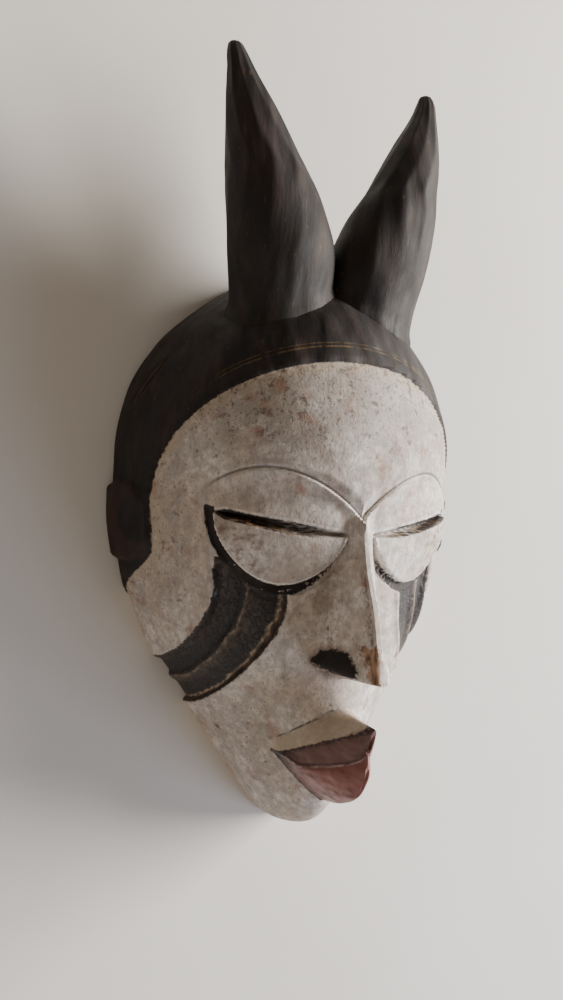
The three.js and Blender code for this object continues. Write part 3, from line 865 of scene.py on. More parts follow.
@dataclass
class Horn:
    """One horn, bent outwards, with long flat cuts along it.

    Each section holds its share of the length, offset from the middle, height over the rim plane and width.
    """

    carving: Carving
    side: float
    rise: float = 102.0
    sink: float = 60.0
    width: float = 66.0
    flatness: float = 0.86
    spread: float = 124.6
    flats: int = 11
    flat_depth: float = 0.5
    flare: float = 2.2
    flare_reach: float = 8.0
    turns: int = 88
    rings: int = 108
    sections: tuple[tuple[float, float, float, float], ...] = (
        (0.0, 0.465, 0.5, 0.86),
        (0.154, 0.455, 0.575, 0.9),
        (0.309, 0.495, 0.646, 0.945),
        (0.463, 0.592, 0.691, 0.86),
        (0.617, 0.73, 0.718, 0.658),
        (0.772, 0.851, 0.731, 0.455),
        (0.895, 0.947, 0.732, 0.258),
        (0.969, 0.992, 0.722, 0.16),
        (0.99, 0.998, 0.716, 0.115),
        (1.0, 1.0, 0.714, 0.0),
    )

    def build(self) -> Shape:
        """Makes the horn as a ball drawn out along the horn's line.

        Returns:
            The horn's mesh in millimetres, over the root of the nose.
        """
        horn, points = ball(self.turns, self.rings)
        share = np.arccos(np.clip(-points[:, 2], -1.0, 1.0)) / math.pi
        move_points(horn, self.surface(share, np.arctan2(points[:, 1], points[:, 0])))
        face_outwards(horn)
        return horn

    def surface(self, share: np.ndarray, turn: np.ndarray) -> np.ndarray:
        """Gives points of the horn.

        Args:
            share: 0 at the sunk foot, 1 at the tip.
            turn: Radians round the horn.

        Returns:
            One row of millimetres for each point.
        """
        form = self.carving.form
        t = np.sin(share * math.pi / 2.0) ** 0.9
        shares, *columns = zip(*self.sections)
        out, height, size = (SmoothCurve(shares, column)(t) for column in columns)
        axis = np.stack(
            [
                self.side * self.spread / 2.0 * out,
                form.crown - self.sink + (self.rise + self.sink) * t,
                form.depth * height,
            ],
            axis=1,
        )
        way = np.stack([self.side * np.cos(turn), np.zeros_like(turn), self.flatness * np.sin(turn)], axis=1)
        reach = self.width / 2.0 * size - self.facets(t, turn) * np.minimum(4.0 * size, 1.0)
        points = axis + way * reach[:, None]
        x, y, z = points.T
        above = np.hypot(x, z) - form.radius(np.arctan2(x, z), y)
        foot = hump(np.clip(above, 0.0, None), self.flare_reach) * (y < form.crown + self.rise / 2.0)
        return points + way * (self.flare * foot)[:, None]

    def facets(self, t: np.ndarray, turn: np.ndarray) -> np.ndarray:
        """Gives how deep the long flat cuts lie, in two runs that meet part of the way up.

        Args:
            t: 0 at the sunk foot, 1 at the tip.
            turn: Radians round the horn.

        Returns:
            Millimetres for each point.
        """
        depth = np.zeros_like(t)
        for run, (low, high) in enumerate(((0.0, 0.62), (0.55, 1.2))):
            bend = 0.25 * np.sin(7.0 * t + 2.0 * run) + 0.4 * run
            within = np.mod((turn + bend) * self.flats / math.tau, 1.0) - 0.5
            fade = ease(low - 0.05, low + 0.05, t) * ease(high + 0.05, high - 0.05, t)
            depth += fade * (1.0 - (2.0 * within) ** 2)
        return self.flat_depth * depth


class Mark(Enum):
    """Distances in millimetres and other measures stored on the mask's points, which the paint follows."""

    HAIR = "into_hair_mm"
    LINE = "past_hair_line_mm"
    EAR = "into_ear_mm"
    EAR_HOLLOW = "ear_hollow_level"
    GOUGE = "gouge"
    SLIT = "out_of_slit_mm"
    OVER_SLIT = "over_slit_mm"
    LID = "out_of_lid_mm"
    MOON_LINE = "out_of_moon_line_mm"
    BROW = "over_brow_mm"
    # how strongly the brow's painted shade shows, fading out towards the temple
    BROW_SHADE = "brow_ink"
    BAND = "band_level"
    CHEEK = "cheek"
    WING = "out_of_wing_mm"
    NOSE_LINES = "off_nose_lines_mm"
    TIP = "into_bare_tip_mm"
    LIPS = "into_lips_mm"
    LOWER_LIP = "below_mouth_line_mm"
    CREASE = "below_crease_mm"
    RIM = "over_rim_mm"
    DEGREES = "degrees_round"
    DIRT = "dirt"


@dataclass
class PaintMarks:
    """Works out where each paint lies, as distances from the carved lines."""

    carving: Carving
    wing_from: float = 9.2
    wing_to: float = 20.5
    wing_top: float = -66.0
    bare_middle: float = -3.4
    bare_half: float = 3.0
    bare_top: float = -62.0
    ridge_edge: float = 2.9
    horns_from: float = 60.0
    horns_clear: float = 4.0
    far: float = 40.0

    def measure(self, points: np.ndarray) -> dict[Mark, np.ndarray]:
        """Measures every mark.

        Args:
            points: Places in millimetres over the root of the nose.

        Returns:
            One value for each point and mark.
        """
        carving = self.carving
        x, y, z = points.T
        places = Places(carving.form, np.arctan2(x, np.maximum(z, 0.0)), y)
        into_ear = np.where(places.p > 50.0, (1.0 - carving.ear.level(places)) * 16.0, -self.far)
        out_of_lid = carving.eye.out_of_lid(places)
        marks = {
            Mark.HAIR: np.maximum(carving.hairline.into_hair(places), into_ear),
            Mark.LINE: np.where(into_ear > -4.0, self.far, carving.hairline.past_line(places)),
            Mark.EAR: into_ear,
            Mark.GOUGE: carving.gouge.shape(places),
            Mark.EAR_HOLLOW: carving.ear.hollow_level(places),
            Mark.SLIT: self.out_of_slit(places),
            Mark.OVER_SLIT: carving.eye.over_slit(places),
            Mark.LID: out_of_lid,
            Mark.MOON_LINE: self.out_of_moon_line(places, out_of_lid),
            Mark.BROW: carving.brow.over_line(places),
            Mark.BROW_SHADE: ease(carving.brow.reach + 3.0, carving.brow.reach - 6.0, places.p),
            Mark.BAND: self.band_level(places),
            Mark.CHEEK: ease(4.6, 5.6, out_of_lid) * ease(-4.7, -5.3, places.y / carving.form.tall),
            Mark.WING: self.out_of_wing(x, y),
            Mark.NOSE_LINES: self.off_nose_lines(x, y),
            Mark.TIP: self.into_bare_tip(x, y),
            Mark.LIPS: self.into_lips(x, y),
            Mark.LOWER_LIP: self.below(carving.mouth.line_y, x, y),
            Mark.CREASE: self.below(carving.mouth.crease_y, x, y),
            Mark.RIM: z,
            Mark.DEGREES: places.p,
            Mark.DIRT: self.dirt(places),
        }
        horns = self.on_horns(points)
        marks[Mark.HAIR][horns] = self.far
        marks[Mark.LINE][horns] = self.far
        return marks

    def on_horns(self, points: np.ndarray) -> np.ndarray:
        """Is true for points that stand clear of the head at its top.

        Args:
            points: Places in millimetres over the root of the nose.

        Returns:
            One value for each place.
        """
        x, y, z = points.T
        radius = self.carving.form.radius(np.arctan2(x, np.maximum(z, 0.0)), y)
        return (np.hypot(x, z) > radius + self.horns_clear) & (y > self.carving.form.crown - self.horns_from)

    def out_of_slit(self, places: Places) -> np.ndarray:
        """Gives the distance out of the slit's soot, whose ends are blunt.

        Args:
            places: Where on the head.

        Returns:
            One value for each place.
        """
        eye = self.carving.eye
        past_ends = np.radians(np.maximum(6.2 - places.p, places.p - 42.0)) * places.plain
        half = lerp(2.0, 2.8, ease(16.0, 30.0, places.p)) * ease(44.0, 38.0, places.p)
        blunt = np.maximum(np.abs(eye.over_slit(places)) - half, past_ends)
        return np.minimum(eye.out_of_slit(places), blunt)

    def out_of_moon_line(self, places: Places, out_of_lid: np.ndarray) -> np.ndarray:
        """Gives the distance out of the dark line round the half moon, which stops short of the nose.

        Args:
            places: Where on the head.
            out_of_lid: Distance out from the half moon's edge.

        Returns:
            One value for each place.
        """
        width = lerp(3.4, 5.8, ease(9.0, 24.0, places.p))
        sides = np.maximum(0.3 - out_of_lid, out_of_lid - width)
        past_end = np.radians(7.6 - places.p) * places.plain
        by_nose = np.maximum(places.y + 5.0 * self.carving.form.tall, past_end)
        by_temple = self.carving.eye.over_slit(places) - 2.4
        return np.maximum(sides, np.where(places.p < 24.0, by_nose, by_temple))

    def band_level(self, places: Places) -> np.ndarray:
        """Gives the level of the cheek band, whose paint draws together towards its top.

        Args:
            places: Where on the head.

        Returns:
            One value for each place.
        """
        top = ease(-17.0, -7.0, places.y / self.carving.form.tall)
        drawn = 1.02 + (self.carving.band.level(places) - 1.02) * (1.0 + 0.13 * top)
        return drawn - 0.05 * ease(-7.6, -4.8, places.y / self.carving.form.tall)

    def out_of_wing(self, x: np.ndarray, y: np.ndarray) -> np.ndarray:
        """Gives the distance out of the dark nostril patch, less inside it.

        Args:
            x: Millimetres to the side of the middle.
            y: Heights in millimetres over the root of the nose.

        Returns:
            One value for each place.
        """
        across = np.abs(x)
        top = self.wing_top - 0.085 * (across - 12.0) ** 2
        foot = self.carving.nose.fold_y(x) - 1.2
        sides = np.maximum(self.wing_from - across, across - self.wing_to)
        return np.maximum(sides, np.maximum(y - top, foot - y))

    def off_nose_lines(self, x: np.ndarray, y: np.ndarray) -> np.ndarray:
        """Gives the distance off the sooty lines along the nose's ridge and down to its wings.

        Args:
            x: Millimetres to the side of the middle.
            y: Heights in millimetres over the root of the nose.

        Returns:
            One value for each place.
        """
        on_ridge = ease(-18.0, -26.0, y) * ease(-68.0, -62.0, y)
        on_side = ease(-48.0, -54.0, y) * ease(-68.0, -62.0, y)
        ridge = np.abs(np.abs(x) - self.ridge_edge) + 6.0 * (1.0 - on_ridge)
        side = np.abs(np.abs(x) - 12.7 - 0.14 * (y + 64.0)) + 6.0 * (1.0 - on_side)
        return np.minimum(ridge, side)

    def into_bare_tip(self, x: np.ndarray, y: np.ndarray) -> np.ndarray:
        """Gives the distance into the worn tip of the nose, where bare wood shows."""
        inside = np.minimum(self.bare_half - np.abs(x - self.bare_middle), self.bare_top - y)
        return np.minimum(inside, y - self.carving.nose.fold_y(x) + 1.0)

    def into_lips(self, x: np.ndarray, y: np.ndarray) -> np.ndarray:
        """Gives the distance into the red of the lips.

        Args:
            x: Millimetres to the side of the middle.
            y: Heights in millimetres over the root of the nose.

        Returns:
            One value for each place.
        """
        mouth = self.carving.mouth
        u = 2.0 * np.abs(x) / mouth.width
        inside = np.minimum(u, 1.0)
        top = mouth.edge_y(inside) - y
        low = y - mouth.foot_y(inside)
        return np.minimum(np.minimum(top + 0.6, low + 1.2), (1.05 - u) * mouth.width / 2.0)

    def below(self, line: Callable[[np.ndarray], np.ndarray], x: np.ndarray, y: np.ndarray) -> np.ndarray:
        """Gives the distance below a line of the mouth, and a long way above it beside the mouth."""
        u = 2.0 * np.abs(x) / self.carving.mouth.width
        return np.where(u < 1.06, line(np.minimum(u, 1.0)) - y, -self.far)

    def dirt(self, places: Places) -> np.ndarray:
        """Gives how sooty the clay is: most under the hair, then on the temples and beside the mouth.

        Args:
            places: Where on the head.

        Returns:
            One value for each place.
        """
        high = places.y / self.carving.form.tall
        forehead = ease(6.0, 19.0, high) * ease(58.0, 38.0, places.p)
        temple = ease(42.0, 58.0, places.p) * ease(-22.0, -6.0, high)
        jaw = ease(-24.0, -32.0, high) * ease(14.0, 30.0, places.p) * ease(80.0, 60.0, places.p)
        return 0.3 + 0.7 * forehead + 0.35 * temple + 0.3 * jaw


def linear(code: str) -> tuple[float, float, float, float]:
    """Turns an sRGB hex colour into linear values with full alpha."""
    shares = [int(code[i : i + 2], 16) / 255.0 for i in (1, 3, 5)]
    return (*[s / 12.92 if s <= 0.04045 else ((s + 0.055) / 1.055) ** 2.4 for s in shares], 1.0)


def new_material(name: str) -> bpy.types.Material:
    """Makes a material with an empty node tree.

    Args:
        name: The material's name.

    Returns:
        The material.
    """
    material = bpy.data.materials.new(name)
    material.use_nodes = True
    material.node_tree.nodes.clear()
    return material


def add_node(
    tree: bpy.types.NodeTree, kind: str, inputs: dict | None = None, **settings: object
) -> bpy.types.Node:
    """Adds a node.

    Args:
        tree: The material's node tree.
        kind: Blender's name of the node's type.
        inputs: A value or an output to link, by the input's name or number.
        settings: The node's own settings.

    Returns:
        The new node.
    """
    node = tree.nodes.new(kind)
    for name, value in settings.items():
        setattr(node, name, value)
    for name, value in (inputs or {}).items():
        if isinstance(value, Socket):
            tree.links.new(value, node.inputs[name])
        else:
            node.inputs[name].default_value = value
    return node


@dataclass
class Coat:
    """What a finish gives at each place: its colour, roughness and height in millimetres."""

    colour: Socket
    roughness: Socket
    height: Socket


@dataclass
class PaintTray:
    """The node tree of one material, with what its finishes share."""

    tree: bpy.types.NodeTree
    ior: float = 1.43

    def patches(
        self,
        size: tuple[float, float, float],
        low: float,
        high: float,
        detail: float = 3.0,
        shift: float = 0.0,
        more: Socket | None = None,
        gain: float = 0.16,
    ) -> Socket:
        """Makes uneven patches of a real size on the object's own coordinates.

        Args:
            size: Millimetres of a patch across, along and out.
            low: Noise value where a patch starts.
            high: Noise value where it is full.
            detail: How ragged the patches are.
            shift: Moves the pattern, so that two of one size differ.
            more: Where it is 1, patches spread.
            gain: How much they spread there.

        Returns:
            An output of 0 to 1.
        """
        where = add_node(self.tree, "ShaderNodeTexCoord").outputs["Object"]
        moved = (shift, shift / 2.0, shift / 3.0)
        inputs = {"Vector": where, "Scale": [1.0 / (MM * side) for side in size], "Location": moved}
        placed = add_node(self.tree, "ShaderNodeMapping", inputs).outputs[0]
        inputs = {"Vector": placed, "Scale": 1.0, "Detail": detail, "Roughness": 0.6}
        value = add_node(self.tree, "ShaderNodeTexNoise", inputs).outputs[0]
        if more is not None:
            value = self.scaled(more, gain, value)
        return self.between(value, low, high)

    def between(self, value: Socket, start: float, end: float) -> Socket:
        """Runs smoothly from 0 where a value is the start to 1 where it is the end."""
        inputs = {"Value": value, "From Min": start, "From Max": end}
        return add_node(self.tree, "ShaderNodeMapRange", inputs, interpolation_type="SMOOTHSTEP").outputs[0]

    def edge(
        self,
        mark: Mark,
        start: float,
        end: float,
        tear: Socket | None = None,
        reach: float = 0.0,
    ) -> Socket:
        """Gives a paint's edge along a mark.

        Args:
            mark: The stored distance that the edge follows.
            start: Distance where the paint is 0.
            end: Distance where it is 1.
            tear: Noise of 0 to 1 that tears the edge.
            reach: How far the edge strays.

        Returns:
            An output of 0 to 1.
        """
        value = add_node(self.tree, "ShaderNodeAttribute", attribute_name=mark.value).outputs["Fac"]
        if tear is not None:
            value = self.scaled(tear, reach, value)
        return self.between(value, start + reach / 2.0, end + reach / 2.0)

    def stripe(self, mark: Mark, rise: tuple[float, float], fall: tuple[float, float]) -> Socket:
        """Gives a stripe along a mark, from the edge where it rises to the edge where it falls."""
        return self.all_of(self.edge(mark, *rise), self.edge(mark, *fall))

    def all_of(self, *masks: Socket | float) -> Socket:
        """Gives the places where all masks are 1, or that much of them where one is a number.

        Args:
            *masks: Outputs or numbers of 0 to 1.

        Returns:
            Their product.
        """
        product = masks[0]
        for mask in masks[1:]:
            inputs = {0: product, 1: mask}
            product = add_node(self.tree, "ShaderNodeMath", inputs, operation="MULTIPLY").outputs[0]
        return product

    def tint(self, colour: Socket | str, over: Socket | str, where: Socket, amount: float = 1.0) -> Socket:
        """Covers a colour with another one, each a hex code or an output.

        Args:
            colour: The colour below.
            over: The colour that covers it.
            where: Is 1 where it covers.
            amount: How much of the colour below it hides there.

        Returns:
            The output with the new colour.
        """
        mask = where if amount == 1.0 else self.all_of(where, amount)
        under, cover = (linear(side) if isinstance(side, str) else side for side in (colour, over))
        inputs = {0: mask, 6: under, 7: cover}
        return add_node(self.tree, "ShaderNodeMix", inputs, data_type="RGBA").outputs[2]

    def scaled(self, value: Socket, gain: float, base: Socket | float = 0.0) -> Socket:
        """Gives the value times the gain, on top of the base."""
        inputs = {0: value, 1: gain, 2: base}
        return add_node(self.tree, "ShaderNodeMath", inputs, operation="MULTIPLY_ADD").outputs[0]

    def cover(self, lower: Coat, upper: Coat, mask: Socket) -> Coat:
        """Lays one coat over another.

        Args:
            lower: The coat below.
            upper: The coat on top.
            mask: 1 where the upper coat lies.

        Returns:
            The two coats as one.
        """
        rough = add_node(self.tree, "ShaderNodeMix", {0: mask, 2: lower.roughness, 3: upper.roughness})
        height = add_node(self.tree, "ShaderNodeMix", {0: mask, 2: lower.height, 3: upper.height})
        return Coat(self.tint(lower.colour, upper.colour, mask), rough.outputs[0], height.outputs[0])

    def finish(self, coat: Coat) -> None:
        """Ends the material with its shader, whose bump stands as many millimetres as the coat says."""
        bump = add_node(self.tree, "ShaderNodeBump", {"Strength": 1.0, "Distance": MM, "Height": coat.height})
        self.shade({"Base Color": coat.colour, "Roughness": coat.roughness, "Normal": bump.outputs[0]})

    def shade(self, inputs: dict) -> None:
        """Adds the shader and the material's output."""
        shader = add_node(self.tree, "ShaderNodeBsdfPrincipled", {**inputs, "IOR": self.ior})
        add_node(self.tree, "ShaderNodeOutputMaterial", {"Surface": shader.outputs[0]})


@dataclass(frozen=True)
class Kaolin:
    """White clay rubbed on wood: chalky cream, worn, with soot specks and reddish wood showing through."""

    cream: str = "#dfd8d3"
    warm: str = "#c3b5a8"
    grey: str = "#96908c"
    streak: str = "#8b817a"
    reddish: str = "#9c6a58"
    ochre: str = "#b9a68c"
    brown: str = "#6d4b34"
    soot: str = "#433a35"
    painted_highlight_colour: str = "#efeae3"
    roughness: float = 0.84
    grain_height: float = 0.09

    def lay(self, tray: PaintTray) -> Coat:
        """Adds the nodes of this finish.

        Args:
            tray: The node tree that they go into.

        Returns:
            The finish as one coat.
        """
        dirt = tray.edge(Mark.DIRT, 0.0, 1.0)
        colour = tray.tint(self.cream, self.warm, tray.patches((30.0, 34.0, 30.0), 0.36, 0.7, shift=1.0))
        veil = tray.patches((7.0, 9.0, 7.0), 0.42, 0.72, detail=8.0, shift=5.0, more=dirt)
        colour = tray.tint(colour, self.grey, veil, 0.6)
        mottle = tray.patches((3.2, 3.8, 3.2), 0.45, 0.62, detail=6.0, shift=61.0, more=dirt, gain=0.12)
        colour = tray.tint(colour, self.streak, mottle, 0.38)
        brushed = tray.patches((0.9, 3.6, 0.9), 0.5, 0.74, detail=4.0, shift=9.0)
        colour = tray.tint(colour, self.streak, brushed, 0.5)
        worn = tray.patches((13.0, 14.0, 13.0), 0.56, 0.72, detail=9.0, shift=3.0)
        colour = tray.tint(colour, self.reddish, worn, 0.62)
        by_hair = tray.edge(Mark.HAIR, -9.0, -0.5, tray.patches((6.0, 6.0, 6.0), 0.2, 0.8, shift=13.0), 4.0)
        by_rim = tray.edge(Mark.RIM, 9.0, 1.0, tray.patches((9.0, 9.0, 9.0), 0.2, 0.8, shift=17.0), 5.0)
        colour = tray.tint(colour, self.ochre, by_hair, 0.5)
        colour = tray.tint(colour, self.ochre, by_rim, 0.6)
        for step in (self.soil, self.stain_and_nose_shade, self.mouth_shelf, self.brow_shade_and_nose_lines, self.painted_highlights):
            colour = step(tray, colour)
        grain = tray.patches((1.8, 2.4, 1.8), 0.3, 0.7, detail=4.0, shift=19.0)
        return Coat(colour, tray.scaled(veil, -0.08, self.roughness), tray.scaled(grain, self.grain_height))

    def soil(self, tray: PaintTray, colour: Socket) -> Socket:
        """Adds the soot specks, fine and coarse, which crowd where the clay is sooty.

        The fine ones are drawn a little coarser than they are, so that they show in the render.

        Args:
            tray: The node tree that the nodes go into.
            colour: The clay's colour so far.

        Returns:
            The colour with them added.
        """
        dirt = tray.edge(Mark.DIRT, 0.0, 1.0)
        fine = tray.patches((1.3, 1.7, 1.3), 0.64, 0.76, detail=2.0, shift=7.0, more=dirt, gain=0.08)
        coarse = tray.patches((5.5, 6.0, 5.5), 0.66, 0.78, detail=10.0, shift=11.0, more=dirt, gain=0.12)
        return tray.tint(tray.tint(colour, self.soot, fine, 0.6), self.soot, coarse, 0.62)

    def stain_and_nose_shade(self, tray: PaintTray, colour: Socket) -> Socket:
        """Adds brown painted shade in the hollow beside the nose, and the brown stain in the outer corner of
        the half moon.

        Args:
            tray: The node tree that the nodes go into.
            colour: The clay's colour so far.

        Returns:
            The colour with them added.
        """
        # Painted shade: brown darkening in the hollow between the nose and the half moon.
        blotch = tray.patches((9.0, 12.0, 9.0), 0.3, 0.6, detail=6.0, shift=69.0)
        beside = tray.stripe(Mark.DEGREES, (3.5, 6.5), (18.0, 11.0))
        below = tray.stripe(Mark.LID, (0.0, 1.5), (34.0, 20.0))
        colour = tray.tint(colour, self.brown, tray.all_of(beside, below, blotch), 0.4)
        spots = tray.patches((5.0, 3.6, 5.0), 0.46, 0.64, detail=6.0, shift=71.0)
        inside = tray.all_of(tray.edge(Mark.LID, -0.5, -3.0), tray.edge(Mark.OVER_SLIT, -3.0, -7.0))
        corner = tray.all_of(inside, tray.edge(Mark.DEGREES, 24.0, 32.0), spots)
        return tray.tint(colour, self.brown, corner, 0.6)

    def mouth_shelf(self, tray: PaintTray, colour: Socket) -> Socket:
        """Adds the ochre shelf above the upper lip and a torn dark line along its crease.

        Args:
            tray: The node tree that the nodes go into.
            colour: The clay's colour so far.

        Returns:
            The colour with them added.
        """
        shelf = tray.all_of(tray.edge(Mark.CREASE, 0.2, 1.4), tray.edge(Mark.LOWER_LIP, 0.5, -0.5))
        shelf = tray.all_of(shelf, tray.edge(Mark.LIPS, -14.0, -9.0))
        colour = tray.tint(colour, self.ochre, shelf, 0.62)
        torn = tray.patches((5.0, 5.0, 5.0), 0.38, 0.6, detail=4.0, shift=21.0)
        line = tray.all_of(tray.stripe(Mark.CREASE, (-0.8, -0.1), (1.0, 0.2)), torn)
        return tray.tint(colour, self.soot, tray.all_of(line, tray.edge(Mark.DEGREES, 4.0, 12.0)), 0.8)

    def brow_shade_and_nose_lines(self, tray: PaintTray, colour: Socket) -> Socket:
        """Adds the brow's painted shade (a dark line just above its cut), the sooty lines on the nose and the
        brown dirt round its wings.

        Args:
            tray: The node tree that the nodes go into.
            colour: The clay's colour so far.

        Returns:
            The colour with them added.
        """
        # Painted shade: a dark line just above the brow's cut, where the cut's shadow falls, strongest by the
        # nose.
        brow = tray.stripe(Mark.BROW, (-0.4, 0.1), (1.5, 0.6))
        brow = tray.all_of(brow, tray.edge(Mark.BROW_SHADE, 0.0, 1.0))
        colour = tray.tint(colour, self.soot, brow, 0.62)
        worn = tray.patches((3.0, 6.0, 3.0), 0.3, 0.6, detail=4.0, shift=25.0)
        by_wing = tray.all_of(tray.edge(Mark.WING, 4.5, 0.5), tray.edge(Mark.DEGREES, 4.0, 7.0), worn)
        colour = tray.tint(colour, self.brown, by_wing, 0.6)
        torn = tray.patches((1.6, 2.6, 1.6), 0.4, 0.6, detail=5.0, shift=27.0)
        return tray.tint(colour, self.soot, tray.all_of(tray.edge(Mark.NOSE_LINES, 1.2, 0.2), torn), 0.7)

    def painted_highlights(self, tray: PaintTray, colour: Socket) -> Socket:
        """Adds painted highlights: pale lines under the brow by the nose, along the half moon's lower edge
        and over the slit, where these carved edges catch the light.

        Args:
            tray: The node tree that the nodes go into.
            colour: The clay's colour so far.

        Returns:
            The colour with them added.
        """
        # Painted highlights, one pale line each: under the brow, round the lower half moon and over the slit.
        near_nose = tray.edge(Mark.DEGREES, 34.0, 14.0)
        under = tray.all_of(tray.stripe(Mark.BROW, (-1.5, -0.9), (-0.1, -0.5)), near_nose)
        colour = tray.tint(colour, self.painted_highlight_colour, under, 0.6)
        rim = tray.stripe(Mark.LID, (-1.1, -0.5), (0.5, 0.1))
        rim = tray.all_of(rim, tray.edge(Mark.OVER_SLIT, 0.0, -3.0))
        colour = tray.tint(colour, self.painted_highlight_colour, rim, 0.7)
        worn = tray.patches((3.0, 6.0, 3.0), 0.3, 0.6, detail=4.0, shift=25.0)
        over_slit = tray.all_of(tray.edge(Mark.SLIT, 1.9, 1.2), tray.edge(Mark.OVER_SLIT, 0.0, 1.5), worn)
        return tray.tint(colour, self.painted_highlight_colour, over_slit, 0.55)


@dataclass(frozen=True)
class SootPatina:
    """Wood blackened with soot and oil and rubbed by handling: near black, satin, brown where worn."""

    black: str = "#171110"
    brown: str = "#30231e"
    rubbed: str = "#54402f"
    red: str = "#2b1613"
    gold: str = "#725b3a"
    roughness: float = 0.72
    polish: float = 0.12
    cut_height: float = 0.8
    scratch_height: float = 0.06

    def lay(self, tray: PaintTray) -> Coat:
        """Adds the nodes of this finish.

        Args:
            tray: The node tree that they go into.

        Returns:
            The finish as one coat.
        """
        streaks = tray.patches((8.0, 40.0, 10.0), 0.44, 0.74, detail=5.0, shift=23.0)
        colour = tray.tint(self.black, self.brown, streaks)
        flesh = tray.patches((9.0, 9.0, 9.0), 0.3, 0.5, shift=33.0)
        ear = tray.all_of(tray.edge(Mark.EAR, 0.0, 1.5), tray.edge(Mark.EAR_HOLLOW, 0.8, 1.0), flesh)
        colour = tray.tint(colour, self.red, ear)
        rubbed = tray.patches((3.0, 8.0, 3.6), 0.62, 0.76, detail=8.0, shift=29.0)
        colour = tray.tint(colour, self.rubbed, rubbed, 0.75)
        colour = tray.tint(colour, self.rubbed, tray.stripe(Mark.GOUGE, (0.02, 0.2), (0.6, 0.25)), 0.7)
        lines = tray.all_of(self.cut_lines(tray), tray.edge(Mark.DEGREES, 56.0, 26.0))
        colour = tray.tint(colour, self.gold, lines, 0.6)
        dull = tray.patches((12.0, 24.0, 14.0), 0.35, 0.72, detail=5.0, shift=31.0)
        cuts = tray.patches((10.0, 34.0, 12.0), 0.25, 0.75, detail=0.0, shift=37.0)
        scratches = tray.patches((1.6, 9.0, 2.0), 0.35, 0.8, detail=4.0, shift=39.0)
        height = tray.scaled(cuts, self.cut_height, tray.scaled(scratches, self.scratch_height))
        return Coat(colour, tray.scaled(dull, -self.polish, self.roughness), height)

    def cut_lines(self, tray: PaintTray) -> Socket:
        """Gives the two thin lines rubbed down to golden wood along the edge of the hair.

        Args:
            tray: The node tree that the nodes go into.

        Returns:
            An output of 1 on the lines and 0 beside them.
        """
        broken = tray.patches((7.0, 7.0, 7.0), 0.36, 0.56, detail=4.0, shift=35.0)
        first = tray.stripe(Mark.LINE, (-0.75, -0.25), (0.7, 0.2))
        second = tray.all_of(tray.stripe(Mark.LINE, (1.5, 1.9), (2.7, 2.3)), 0.7)
        both = add_node(tray.tree, "ShaderNodeMath", {0: first, 1: second}, operation="MAXIMUM").outputs[0]
        return tray.all_of(both, broken)


@dataclass(frozen=True)
class BandSoot:
    """Soot rubbed into the cheek's channels: blue-black in the depths, brown wood on the worn ridges, with a
    painted highlight along the inner border.
    """

    levels: tuple[tuple[float, str], ...] = (
        (0.775, "#4a3a2e"),
        (0.8, "#241b18"),
        (0.83, "#3a2e28"),
        (0.87, "#232126"),
        (0.95, "#1a191d"),
        (0.985, "#352d2a"),
        (1.0, "#7d7062"),
        (1.015, "#5b4c41"),
        (1.07, "#2f2724"),
        (1.12, "#1d191b"),
        (1.185, "#171417"),
        # Painted highlight: the pale stop at 1.207 lights the inner border of the channel.
        (1.207, "#a8957f"),
        (1.22, "#5e4a3b"),
        (1.245, "#2c211b"),
    )
    speck: str = "#151214"
    low: float = 0.75
    high: float = 1.3
    sway: float = 0.06
    roughness: float = 0.42

    def lay(self, tray: PaintTray) -> Coat:
        """Adds the nodes of this finish.

        Args:
            tray: The node tree that they go into.

        Returns:
            The finish as one coat.
        """
        level = add_node(tray.tree, "ShaderNodeAttribute", attribute_name=Mark.BAND.value).outputs["Fac"]
        hand = tray.patches((8.0, 8.0, 8.0), 0.0, 1.0, detail=4.0, shift=45.0)
        swayed = tray.scaled(hand, self.sway, level)
        mean = self.sway / 2.0
        inputs = {"Value": swayed, "From Min": self.low + mean, "From Max": self.high + mean}
        place = add_node(tray.tree, "ShaderNodeMapRange", inputs).outputs[0]
        ramp = add_node(tray.tree, "ShaderNodeValToRGB", {0: place})
        stops = ramp.color_ramp.elements
        stops.remove(stops[1])
        for i, (at, code) in enumerate(self.levels):
            stop = stops[0] if i == 0 else stops.new(0.999)
            stop.position = (at - self.low) / (self.high - self.low)
            stop.color = linear(code)
        specks = tray.patches((3.4, 4.6, 3.4), 0.42, 0.6, detail=7.0, shift=49.0)
        colour = tray.tint(ramp.outputs[0], self.speck, specks, 0.7)
        return Coat(colour, tray.scaled(specks, -0.1, self.roughness), tray.scaled(specks, -0.25))


@dataclass(frozen=True)
class SlitSoot:
    """Glossy soot in the eye's slit, worn to brown wood below and to grey by the nose."""

    black: str = "#2a2323"
    brown: str = "#8a6c50"
    grey: str = "#bdb5af"
    roughness: float = 0.4

    def lay(self, tray: PaintTray) -> Coat:
        """Adds the nodes of this finish.

        Args:
            tray: The node tree that they go into.

        Returns:
            The finish as one coat.
        """
        worn = tray.patches((5.0, 2.4, 5.0), 0.46, 0.64, detail=6.0, shift=51.0)
        below = tray.all_of(worn, tray.edge(Mark.OVER_SLIT, 0.6, -1.0))
        colour = tray.tint(self.black, self.brown, below, 0.9)
        streaks = tray.patches((6.0, 0.9, 6.0), 0.42, 0.62, detail=4.0, shift=63.0)
        streaks = tray.all_of(streaks, tray.edge(Mark.DEGREES, 29.0, 19.0))
        colour = tray.tint(colour, self.grey, streaks, 0.75)
        colour = tray.tint(colour, self.grey, tray.edge(Mark.DEGREES, 15.0, 8.0, worn, 4.0), 0.9)
        return Coat(colour, tray.scaled(worn, 0.2, self.roughness), tray.scaled(worn, 0.2))


